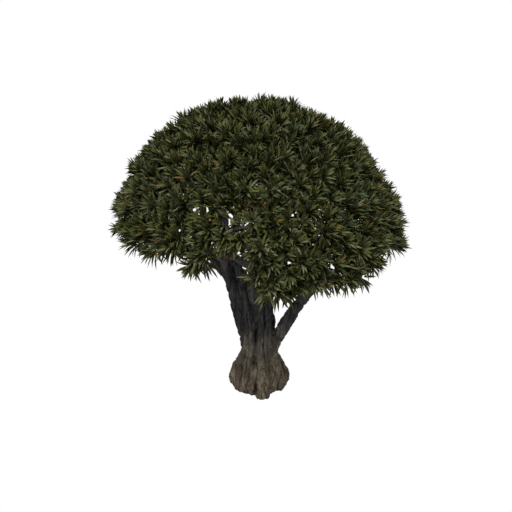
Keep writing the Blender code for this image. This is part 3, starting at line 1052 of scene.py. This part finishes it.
    def part_between(
        self, name: str, skin: bpy.types.Mesh, low: float, high: float
    ) -> bpy.types.Object:
        """Cuts the closed piece between two heights out of the skin.

        Args:
            name: The piece's name.
            skin: The whole skin.
            low: Its lower end.
            high: Its upper end.

        Returns:
            The mesh object.
        """
        bm = bmesh.new()
        bm.from_mesh(skin)
        for height, above in ((low, True), (high, False)):
            bmesh.ops.bisect_plane(
                bm,
                geom=[*bm.verts, *bm.edges, *bm.faces],
                plane_co=(0, 0, height),
                plane_no=UP,
                clear_inner=above,
                clear_outer=not above,
            )
            rims = [edge for edge in bm.edges if edge.is_boundary]
            bmesh.ops.holes_fill(bm, edges=rims)
        bmesh.ops.triangulate(bm, faces=[face for face in bm.faces if len(face.verts) > 4])
        data = bpy.data.meshes.new(name)
        bm.to_mesh(data)
        bm.free()
        data.materials.append(skin.materials[0])
        return link(name, data)

    def build(self, finish: bpy.types.Material) -> tuple[bpy.types.Object, bpy.types.Object]:
        """Makes the finished skin.

        Args:
            finish: The bark.

        Returns:
            The trunk's piece, cut level with the ground, and the limbs' piece.
        """
        solid = self.skin()
        values = {
            "Lump size": 0.26,
            "Lump depth": 0.12,
            "Furrow size": 0.085,
            "Furrow depth": 0.014,
            "Cleft depth": 0.035,
            "Stretch": 8.0,
            "Finish": finish,
        }
        grown(solid, bark_relief(self.ropes), values)
        whole = as_mesh(solid)
        places = np.empty(3 * len(whole.data.vertices), np.float32)
        whole.data.vertices.foreach_get("co", places)
        places = places.reshape(-1, 3).astype(float)
        for hollow in self.hollows:
            hollow.press(places)
        whole.data.vertices.foreach_set("co", places.astype(np.float32).ravel())
        trunk = self.part_between("bark_trunk", whole.data, 0.0, self.cut_height)
        above = self.part_between("bark_limbs", whole.data, self.cut_height, self.over_all)
        bpy.data.objects.remove(whole)
        return trunk, above


@dataclass(frozen=True)
class Heart:
    """The growing end of a twig, where a rosette of leaves sits.

    Attributes:
        place: Where it is.
        mass: Name of the mass of foliage that it belongs to.
        axis: Direction of the rosette.
    """

    place: Vector
    mass: str
    axis: Vector


@dataclass(frozen=True)
class Twigs:
    """Forking twigs from the limbs' tips to the rosettes.

    Attributes:
        crown: The dome.
        limbs: The stems and boughs that carry them.
        count: Rosettes spread over the dome.
        depth: Of a rosette's heart under the crown's surface.
        unevenness: Degrees that a rosette strays from the even spread.
        depth_stray: How much less or more that can be.
        low_hearts: Azimuth, distance and height of the rosettes that hang lower.
        bare: Azimuth, degrees from the apex and depth along the twig that shows bare in front.
        bare_radius: Of the bare twig.
        stem_length: From a limb's tip to its first fork.
        stem_radius: There.
        overlap: How deep that wood starts inside the limb.
        tip_radius: Of a twig at its heart.
        taper: Of a twig's radius, what is left at its next fork.
        last_taper: Of a fork's radius, what its twig to a single heart starts with.
        fork_share: Of the way to its hearts where a twig forks.
        outward: How much a rosette turns away from its limb.
        upward: How much it turns to the light.
        sway: How much the rosettes' directions vary.
        seed: For the spread of the hearts.
    """

    crown: Crown
    limbs: Limbs
    count: int = 830
    depth: float = 0.39
    unevenness: float = 2.0
    depth_stray: tuple[float, float] = (-0.06, 0.15)
    low_hearts: tuple[tuple[float, float, float], ...] = (
        (243.0, 3.05, 5.03),
        (246.0, 2.85, 5.08),
        (276.0, 3.20, 4.72),
        (281.0, 3.00, 4.60),
        (314.0, 3.15, 4.56),
    )
    bare: tuple[tuple[float, float, float], ...] = (
        (250.0, 72.0, 0.90),
        (256.0, 68.0, 0.42),
        (261.5, 65.0, 0.36),
        (267.0, 64.0, 0.38),
        (271.0, 61.0, 0.40),
    )
    bare_radius: float = 0.05
    stem_length: float = 0.32
    stem_radius: float = 0.065
    overlap: float = 0.08
    tip_radius: float = 0.020
    taper: float = 0.85
    last_taper: float = 0.9
    fork_share: float = 0.45
    outward: float = 0.2
    upward: float = 0.42
    sway: float = 0.42
    seed: int = 9

    def hearts(self) -> list[Heart]:
        """Spreads the rosettes evenly over the dome and deals them to the nearest mass."""
        chance = random.Random(self.seed)
        centres = self.crown.centres()
        places = []
        for number in range(self.count):
            polar = math.degrees(math.acos(1 - (number + 0.5) / self.count))
            ring = max(0.2, math.sin(math.radians(polar)))
            stray = self.unevenness * chance.uniform(-1, 1) / ring
            azimuth = (number * GOLDEN_ANGLE + stray) % 360
            polar += self.unevenness * chance.uniform(-1, 1)
            deep = self.depth + chance.uniform(*self.depth_stray)
            if polar < self.crown.lowest(azimuth):
                places.append(self.crown.surface(azimuth, polar, deep))
        places += [at(*low) for low in self.low_hearts]
        made = []
        for place in places:
            mass = min(centres, key=lambda name: (centres[name] - place).length)
            out = (place - self.limbs.end(centres[mass])[0]).normalized()
            sway = Vector([chance.uniform(-1, 1) for _ in range(3)]) * self.sway
            axis = self.crown.normal(place) + self.outward * out + self.upward * UP + sway
            made.append(Heart(place, mass, axis.normalized()))
        return made

    def forked(
        self, start: Vector, leaving: Vector, hearts: Sequence[Heart], radius: float
    ) -> Iterator[Line]:
        """Grows the twigs that lead from a fork to its hearts.

        A fork parts the hearts in two, across their widest spread.

        Args:
            start: The fork.
            leaving: Direction of the twig that it grew from.
            hearts: Where the twigs lead.
            radius: Of the twigs at the fork.

        Yields:
            The line of each twig.
        """
        if len(hearts) == 1:
            end = hearts[0]
            line = arched_line(start, leaving, end.axis, end.place, 6)
            yield with_radii(line, radius, self.tip_radius)
            return
        middle = sum((heart.place for heart in hearts), Vector()) / len(hearts)
        first = max(hearts, key=lambda heart: (heart.place - middle).length).place
        last = max(hearts, key=lambda heart: (heart.place - first).length).place
        ranked = sorted(hearts, key=lambda heart: (heart.place - first).dot(last - first))
        half = len(ranked) // 2
        for share in (ranked[:half], ranked[half:]):
            if len(share) == 1:
                yield from self.forked(start, leaving, share, self.last_taper * radius)
                continue
            goal = sum((heart.place for heart in share), Vector()) / len(share)
            fork = start.lerp(goal, self.fork_share)
            onward = (goal - start).normalized()
            thinner = max(1.1 * self.tip_radius, self.taper * radius)
            yield with_radii(arched_line(start, leaving, onward, fork, 5), radius, thinner)
            yield from self.forked(fork, onward, share, thinner)

    def lines(self, hearts: Sequence[Heart]) -> list[Line]:
        """Grows the twigs of every mass.

        Args:
            hearts: All the rosettes' hearts.

        Returns:
            The twigs' lines.
        """
        made = []
        for name, centre in self.crown.centres().items():
            own = [heart for heart in hearts if heart.mass == name]
            tip, heading = self.limbs.end(centre)
            base = tip + heading * self.stem_length
            root = tip - heading * self.overlap
            made.append(with_radii([root, tip, base], 1.1 * self.stem_radius, self.stem_radius))
            made += self.forked(base, heading, own, 0.8 * self.stem_radius)
        knots = [self.crown.surface(*knot) for knot in self.bare]
        nearest = min(self.crown.centres().values(), key=lambda centre: (centre - knots[0]).length)
        tip, heading = self.limbs.end(nearest)
        line = smooth_line([tip, tip + heading * 0.4, *knots], 20)
        made.append(with_radii(line, self.bare_radius, 0.7 * self.bare_radius))
        return made

    def build(self, hearts: Sequence[Heart], finish: bpy.types.Material) -> bpy.types.Object:
        """Makes all the twigs as one piece.

        Args:
            hearts: All the rosettes' hearts.
            finish: The bark.

        Returns:
            The mesh object.
        """
        item = tubes_curve("twigs", self.lines(hearts))
        grown(item, round_twigs(), {"Sides": 6, "Finish": finish})
        return as_mesh(item)


def round_twigs() -> bpy.types.NodeTree:
    """Draws the geometry tree that gives lines their round wood.

    Returns:
        The tree, with the number of sides and the finish as inputs.
    """
    sheet = NodeSheet.group("round_twigs", "GeometryNodeTree")
    lines = sheet.socket("Geometry", "Geometry")
    sides = sheet.socket("Sides", "Int", 6)
    finish = sheet.socket("Finish", "Material")
    sheet.socket("Geometry", "Geometry", outgoing=True)
    ring = sheet.node("GeometryNodeCurvePrimitiveCircle", {"Resolution": sides, "Radius": 1.0})
    radius = sheet.attribute("radius", "FLOAT")
    wood = sheet.node(
        "GeometryNodeCurveToMesh",
        {"Curve": lines, "Profile Curve": ring.outputs[0], "Scale": radius, "Fill Caps": True},
    )
    welded = sheet.node(
        "GeometryNodeMergeByDistance", {"Geometry": wood.outputs[0], "Distance": WELD}
    )
    sheet.finished(welded.outputs[0], finish)
    return sheet.tree


class LeafKind(Enum):
    """The colours that leaves are dealt, each as a plain base colour."""

    DEEP = (0.024, 0.030, 0.008)
    OLIVE = (0.066, 0.070, 0.020)
    GREY = (0.098, 0.104, 0.050)
    FRESH = (0.078, 0.092, 0.024)
    TEAL = (0.036, 0.060, 0.034)
    AMBER = (0.140, 0.080, 0.018)
    DEAD = (0.062, 0.036, 0.014)


@dataclass(frozen=True)
class LeafFinish:
    """A leaf's surface: one base colour, with fine mottling in its gloss.

    Attributes:
        kind: Which colour.
        roughness: Lowest and highest.
        bump: Depth of the fine relief.
    """

    kind: LeafKind
    roughness: tuple[float, float] = (0.48, 0.70)
    bump: float = 0.004

    def material(self) -> bpy.types.Material:
        """Makes the material."""
        made = bpy.data.materials.new(f"leaf_{self.kind.name.lower()}")
        made.use_nodes = True
        sheet = NodeSheet(made.node_tree)
        place = sheet.node("ShaderNodeTexCoord").outputs["Object"]
        mottle = sheet.noise(place, 24.0, 3.0).outputs["Fac"]
        gloss = sheet.ramp(mottle, results=self.roughness)
        bump = sheet.node("ShaderNodeBump", {"Height": mottle})
        bump.inputs["Distance"].default_value = self.bump
        shader = made.node_tree.nodes["Principled BSDF"]
        shader.inputs["Base Color"].default_value = (*self.kind.value, 1.0)
        shader.inputs["Specular IOR Level"].default_value = 0.14
        made.node_tree.links.new(gloss, shader.inputs["Roughness"])
        made.node_tree.links.new(bump.outputs["Normal"], shader.inputs["Normal"])
        return made


@dataclass(frozen=True)
class Leaf:
    """One leaf of a rosette.

    Attributes:
        root: Where it grows from.
        aim: Direction at its root.
        face: Direction of its upper side.
        length: From root to tip.
        width: Where it is widest.
        curl: How far its tip bends down, as a share of its length.
    """

    root: Vector
    aim: Vector
    face: Vector
    length: float
    width: float
    curl: float

    def crosses(self, start: Vector, direction: Vector, radius: float) -> bool:
        """Tells whether the leaf comes near a line.

        Args:
            start: A point of the line.
            direction: The line's direction.
            radius: How near.

        Returns:
            Whether one of the checked points along the leaf does.
        """
        for share in CHECKED_SHARES:
            bent = self.face * (self.curl * share**2)
            place = self.root + (self.aim * share - bent) * self.length - start
            if (place - direction * place.dot(direction)).length < radius:
                return True
        return False


def sword_leaves() -> bpy.types.NodeTree:
    """Draws the geometry tree that stands a folded, recurved blade on every leaf's root.

    Returns:
        The tree, with the fold, the droop, the rows of faces and the finish as inputs.
    """
    sheet = NodeSheet.group("sword_leaves", "GeometryNodeTree")
    roots = sheet.socket("Geometry", "Geometry")
    fold = sheet.socket("Fold", "Float", 0.35)
    droop = sheet.socket("Droop", "Float", 0.06)
    rows = sheet.socket("Rows", "Int", 5)
    finish = sheet.socket("Finish", "Material")
    sheet.socket("Geometry", "Geometry", outgoing=True)

    # One blade, a metre long and wide: a grid, narrowed to its tip and folded along its middle.
    grid = sheet.node(
        "GeometryNodeMeshGrid", {"Size X": 1.0, "Size Y": 1.0, "Vertices X": 3, "Vertices Y": rows}
    )
    place = sheet.node("GeometryNodeInputPosition").outputs[0]
    parts = sheet.node("ShaderNodeSeparateXYZ", {0: place}).outputs
    along = sheet.math("ADD", parts["Y"], 0.5)
    left = sheet.math("MAXIMUM", sheet.math("SUBTRACT", 1.0, along), 0.0)
    narrowing = sheet.math("POWER", left, 0.8)
    broadening = sheet.math("MULTIPLY_ADD", along, 2.43, 0.51)
    outline = sheet.math("MULTIPLY", narrowing, broadening)
    across = sheet.math("MULTIPLY", parts["X"], outline)
    raised = sheet.math("MULTIPLY", sheet.math("ABSOLUTE", across), fold)
    blade_place = sheet.node("ShaderNodeCombineXYZ", {"X": across, "Y": along, "Z": raised})
    blade = sheet.node(
        "GeometryNodeStoreNamedAttribute",
        {"Geometry": grid.outputs["Mesh"], "Name": "along", "Value": along},
        data_type="FLOAT",
        domain="POINT",
    )
    blade = sheet.node(
        "GeometryNodeSetPosition",
        {"Geometry": blade.outputs[0], "Position": blade_place.outputs[0]},
    )
    blade = sheet.node(
        "GeometryNodeMergeByDistance", {"Geometry": blade.outputs[0], "Distance": 0.0001}
    )

    # A blade stands on every root, in that leaf's size and directions.
    length = sheet.attribute("length", "FLOAT")
    width = sheet.attribute("width", "FLOAT")
    face = sheet.attribute("face", "FLOAT_VECTOR")
    turn = sheet.node(
        "FunctionNodeAxesToRotation",
        {"Primary Axis": sheet.attribute("aim", "FLOAT_VECTOR"), "Secondary Axis": face},
        primary_axis="Y",
        secondary_axis="Z",
    )
    size = sheet.node("ShaderNodeCombineXYZ", {"X": width, "Y": length, "Z": width})
    leaves = sheet.node(
        "GeometryNodeInstanceOnPoints",
        {
            "Points": roots,
            "Instance": blade.outputs[0],
            "Rotation": turn.outputs[0],
            "Scale": size.outputs[0],
        },
    )
    real = sheet.node("GeometryNodeRealizeInstances", {"Geometry": leaves.outputs[0]})

    # Its tip curls back over its face's other side and hangs under its own weight.
    squared = sheet.math("POWER", sheet.attribute("along", "FLOAT"), 2.0)
    reach = sheet.math("MULTIPLY", squared, length)
    curl = sheet.math("MULTIPLY", reach, sheet.attribute("curl", "FLOAT"))
    bent = sheet.scaled(face, sheet.math("MULTIPLY", curl, -1.0))
    lowered = sheet.math("MULTIPLY", sheet.math("MULTIPLY", reach, droop), -1.0)
    fall = sheet.node("ShaderNodeCombineXYZ", {"Z": lowered})
    moved = sheet.node(
        "GeometryNodeSetPosition",
        {"Geometry": real.outputs[0], "Offset": sheet.vector_math("ADD", bent, fall.outputs[0])},
    )
    sheet.finished(moved.outputs[0], finish)
    return sheet.tree


@dataclass(frozen=True)
class Rosettes:
    """The leaves: a star of blades round every heart, with a skirt of dead ones below.

    Attributes:
        green_count: Green leaves of a rosette.
        dead_count: Dead leaves of its skirt.
        length: Of a full leaf.
        width: Of a full leaf.
        tilts: Degrees between a leaf and the rosette's axis, for the innermost and outermost leaf.
        opening: Power by which the leaves open from the first tilt to the last.
        tilt_stray: Degrees that a tilt strays.
        turn_stray: Degrees that a leaf strays round the axis.
        twist: How far a leaf's face turns about its length.
        dead_tilts: Degrees between a dead leaf and the axis, at least and at most.
        sizes: Of a rosette, as shares of the full size, and of a leaf's width.
        lengths: Of a leaf, as shares of its rosette's.
        young: Length of the innermost leaf, and how much is added down to the outermost.
        curls: Curl of the innermost leaf, and how much is added down to the outermost.
        curl_strays: How much less or more that can be.
        base_top: Height of the innermost leaf's root over the heart.
        base_length: From there down to the outermost leaf's.
        base_radius: Of the wood that the leaves grow from.
        seed: For what varies from leaf to leaf.
        weights: How often a rosette takes each green as its main one.
        stray_share: Leaves of a rosette that are dealt a green of their own.
        amber_share: Leaves that have turned; there are more among the old ones.
        amber_ages: That share's factor for the innermost leaf, and what is added to the outermost.
    """

    green_count: int = 46
    dead_count: int = 4
    length: float = 0.36
    width: float = 0.051
    tilts: tuple[float, float] = (5.0, 80.0)
    opening: float = 0.95
    tilt_stray: float = 17.0
    turn_stray: float = 16.0
    twist: float = 0.35
    dead_tilts: tuple[float, float] = (88.0, 145.0)
    sizes: tuple[float, float] = (0.85, 1.1)
    lengths: tuple[float, float] = (0.80, 1.12)
    young: tuple[float, float] = (0.76, 0.9)
    curls: tuple[float, float] = (0.04, 0.16)
    curl_strays: tuple[float, float] = (-0.09, 0.10)
    base_top: float = 0.06
    base_length: float = 0.24
    base_radius: float = 0.028
    seed: int = 9
    weights: dict[LeafKind, float] = field(
        default_factory=lambda: {
            LeafKind.DEEP: 0.26,
            LeafKind.OLIVE: 0.34,
            LeafKind.GREY: 0.26,
            LeafKind.FRESH: 0.12,
            LeafKind.TEAL: 0.02,
        }
    )
    stray_share: float = 0.7
    amber_share: float = 0.020
    amber_ages: tuple[float, float] = (0.4, 1.2)

    def rosette(self, heart: Heart, chance: random.Random) -> Iterator[tuple[LeafKind, Leaf]]:
        """Grows one rosette.

        Args:
            heart: Where it sits.
            chance: Source of its chance values.

        Yields:
            Each leaf with its kind.
        """
        side = heart.axis.orthogonal().normalized()
        other = heart.axis.cross(side)
        kinds = list(self.weights)
        shares = list(self.weights.values())
        main = chance.choices(kinds, shares)[0]
        first = chance.uniform(0, 360)
        size = chance.uniform(*self.sizes)
        low, high = self.tilts
        for number in range(self.green_count + self.dead_count):
            age = number / self.green_count
            dead = number >= self.green_count
            stray = chance.uniform(-self.turn_stray, self.turn_stray)
            turn = math.radians(first + number * GOLDEN_ANGLE + stray)
            radial = side * math.cos(turn) + other * math.sin(turn)
            stray = chance.uniform(-self.tilt_stray, self.tilt_stray)
            tilt = low + (high - low) * min(age, 1.0) ** self.opening + stray
            if dead:
                tilt = chance.uniform(*self.dead_tilts)
            lean = math.radians(tilt)
            aim = heart.axis * math.cos(lean) + radial * math.sin(lean)
            face = heart.axis * math.sin(lean) - radial * math.cos(lean)
            face += aim.cross(face) * chance.uniform(-self.twist, self.twist)
            above = self.base_top - self.base_length * age
            root = heart.place + heart.axis * above + radial * self.base_radius
            grown_share = min(1.0, self.young[0] + self.young[1] * age)
            length = self.length * grown_share * size * chance.uniform(*self.lengths)
            curl = self.curls[0] + self.curls[1] * min(age, 1.0)
            curl += chance.uniform(*self.curl_strays)
            width = self.width * chance.uniform(*self.sizes)
            leaf = Leaf(root, aim, face.normalized(), length, width, curl)
            turned = self.amber_share * (self.amber_ages[0] + self.amber_ages[1] * age)
            if dead:
                yield LeafKind.DEAD, leaf
            elif chance.random() < turned:
                yield LeafKind.AMBER, leaf
            elif chance.random() < self.stray_share:
                yield chance.choices(kinds, shares)[0], leaf
            else:
                yield main, leaf

    def dealt(self, crown: Crown, hearts: Sequence[Heart]) -> dict[LeafKind, list[Leaf]]:
        """Grows every rosette and sorts its leaves by kind.

        Args:
            crown: The dome, whose openings stay free of leaves.
            hearts: All the rosettes' hearts.

        Returns:
            The leaves of each kind.
        """
        chance = random.Random(self.seed)
        made = {kind: [] for kind in LeafKind}
        for heart in hearts:
            openings = crown.sky(heart.place)
            for kind, leaf in self.rosette(heart, chance):
                if not any(leaf.crosses(*opening) for opening in openings):
                    made[kind].append(leaf)
        return made

    def roots(self, name: str, leaves: Sequence[Leaf]) -> bpy.types.Object:
        """Makes a cloud of leaf roots that carries each leaf's sizes and directions.

        Args:
            name: The object's name.
            leaves: The leaves.

        Returns:
            A mesh object of points only.
        """
        data = bpy.data.meshes.new(name)
        data.from_pydata([leaf.root for leaf in leaves], [], [])
        for key in ("aim", "face"):
            values = [part for leaf in leaves for part in getattr(leaf, key)]
            data.attributes.new(key, "FLOAT_VECTOR", "POINT").data.foreach_set("vector", values)
        for key in ("length", "width", "curl"):
            values = [getattr(leaf, key) for leaf in leaves]
            data.attributes.new(key, "FLOAT", "POINT").data.foreach_set("value", values)
        return link(name, data)

    def build(self, crown: Crown, hearts: Sequence[Heart]) -> list[bpy.types.Object]:
        """Makes the leaves, one piece for each kind.

        Args:
            crown: The dome.
            hearts: All the rosettes' hearts.

        Returns:
            The mesh objects.
        """
        tree = sword_leaves()
        made = []
        for kind, leaves in self.dealt(crown, hearts).items():
            finish = LeafFinish(kind).material()
            item = self.roots(f"leaves_{kind.name.lower()}", leaves)
            grown(item, tree, {"Fold": 0.5, "Droop": 0.07, "Rows": 5, "Finish": finish})
            piece = as_mesh(item)
            for name in ("aim", "face", "length", "width", "curl", "along"):
                spare = piece.data.attributes.get(name)
                if spare:
                    piece.data.attributes.remove(spare)
            made.append(piece)
        return made


@dataclass(frozen=True)
class Studio:
    """A white floor, soft light from all round and a camera that looks down on the crown.

    Attributes:
        target: What the camera looks at.
        elevation: Degrees that it stands over the target.
        distance: From it.
        lens: Focal length in millimetres.
        sensor: Width of the picture on the sensor in millimetres.
        sky: Strength of the light from all round.
        sun: Strength of the soft sun.
        sun_from: Direction that the sun stands in.
        sun_width: Degrees that it spans.
        floor_reach: From the axis to the floor's edge.
        floor_drop: How far the floor lies under the trunk's flat cut.
    """

    target: tuple[float, float, float] = (-0.077, 0.0, 4.0)
    elevation: float = 25.0
    distance: float = 14.296
    lens: float = 35.0
    sensor: float = 32.0
    sky: float = 0.43
    sun: float = 4.4
    sun_from: tuple[float, float, float] = (-0.20, -0.30, 1.0)
    sun_width: float = 25.0
    floor_reach: float = 60.0
    floor_drop: float = 0.002

    def camera(self) -> None:
        """Places the camera."""
        data = bpy.data.cameras.new("camera")
        data.lens = self.lens
        data.sensor_width = self.sensor
        data.clip_end = 200.0
        lean = math.radians(self.elevation)
        back = Vector((0.0, -math.cos(lean), math.sin(lean)))
        item = link("camera", data)
        item.location = Vector(self.target) + back * self.distance
        item.rotation_euler = back.to_track_quat("Z", "Y").to_euler()
        bpy.context.scene.camera = item

    def lights(self) -> None:
        """Places the sun and the light from all round."""
        data = bpy.data.lights.new("sun", "SUN")
        data.energy = self.sun
        data.angle = math.radians(self.sun_width)
        item = link("sun", data)
        item.rotation_euler = Vector(self.sun_from).to_track_quat("Z", "Y").to_euler()
        world = bpy.data.worlds.new("studio")
        world.use_nodes = True
        bpy.context.scene.world = world
        sheet = NodeSheet(world.node_tree)
        seen = sheet.node("ShaderNodeLightPath").outputs["Is Camera Ray"]
        strength = sheet.node(
            "ShaderNodeMapRange", {"Value": seen, "To Min": self.sky, "To Max": 1.0}
        ).outputs["Result"]
        background = world.node_tree.nodes["Background"]
        background.inputs["Color"].default_value = (1.0, 1.0, 1.0, 1.0)
        world.node_tree.links.new(strength, background.inputs["Strength"])

    def floor(self) -> None:
        """Lays the floor, which shows plain white and gives a little light back."""
        bm = bmesh.new()
        bmesh.ops.create_grid(bm, x_segments=1, y_segments=1, size=self.floor_reach)
        data = bpy.data.meshes.new("floor")
        bm.to_mesh(data)
        bm.free()
        item = link("floor", data)
        item.location = (0.0, 0.0, -self.floor_drop)
        material = bpy.data.materials.new("floor")
        material.use_nodes = True
        sheet = NodeSheet(material.node_tree)
        shader = material.node_tree.nodes["Principled BSDF"]
        shader.inputs["Base Color"].default_value = (0.5, 0.5, 0.5, 1.0)
        shader.inputs["Roughness"].default_value = 1.0
        shader.inputs["Specular IOR Level"].default_value = 0.0
        glow = sheet.node("ShaderNodeEmission", {"Color": (1.0, 1.0, 1.0, 1.0), "Strength": 1.0})
        seen = sheet.node("ShaderNodeLightPath").outputs["Is Camera Ray"]
        mixed = sheet.node(
            "ShaderNodeMixShader", {0: seen, 1: shader.outputs[0], 2: glow.outputs[0]}
        )
        output = material.node_tree.nodes["Material Output"]
        material.node_tree.links.new(mixed.outputs[0], output.inputs["Surface"])
        data.materials.append(material)

    def build(self) -> None:
        """Sets the whole studio up."""
        self.camera()
        self.lights()
        self.floor()
        bpy.context.scene.view_settings.view_transform = "Standard"


def dressed(piece: bpy.types.Object, slot: str, nodes: Sequence[str]) -> None:
    """Hands a finished piece to the frame.

    Args:
        piece: The piece.
        slot: Its material slot in the record; not used.
        nodes: The CAD nodes that it stands for.
    """
    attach(piece, "root")
    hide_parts(*nodes)
    piece.data.calc_loop_triangles()
    log.info("%s: %d triangles", piece.name, len(piece.data.loop_triangles))


def main() -> None:
    """Builds the tree and its studio."""
    logging.basicConfig(level=logging.INFO, format="%(name)s: %(message)s")
    crown = Crown()
    limbs = Limbs(crown)
    ropes = Ropes()
    tones = bark_tones(ropes)
    # The trunk's bark darkens from foot to top: partly its own tone, partly painted shade from the
    # crown.
    trunk_bark = BarkFinish(
        "trunk_bark", (0.215, 0.176, 0.124), (0.043, 0.042, 0.042), top_height=2.3
    )
    # The twigs' bark gets the same painted light on ridges and painted shade in cracks, clefts and
    # valleys, a little weaker.
    twig_bark = BarkFinish(
        "twig_bark", (0.085, 0.070, 0.052), (0.085, 0.070, 0.052), grain=0.8, bump=0.01
    )
    leafy = [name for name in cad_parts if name.startswith("foliage_")]
    stems = [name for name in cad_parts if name.startswith("stem_")]
    boughs = [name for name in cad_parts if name.startswith("bough_")]
    trunk, above = Wood(limbs, ropes).build(trunk_bark.material(tones))
    dressed(trunk, "trunk_bark", ["trunk", *stems])
    dressed(above, "limb_bark", [*stems, *boughs])
    twigs = Twigs(crown, limbs)
    hearts = twigs.hearts()
    log.info("%d rosettes", len(hearts))
    dressed(twigs.build(hearts, twig_bark.material(tones)), "limb_bark", leafy)
    for piece in Rosettes().build(crown, hearts):
        dressed(piece, "leaves", leafy)
    Studio().build()
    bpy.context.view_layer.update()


if __name__ == "__main__":
    main()
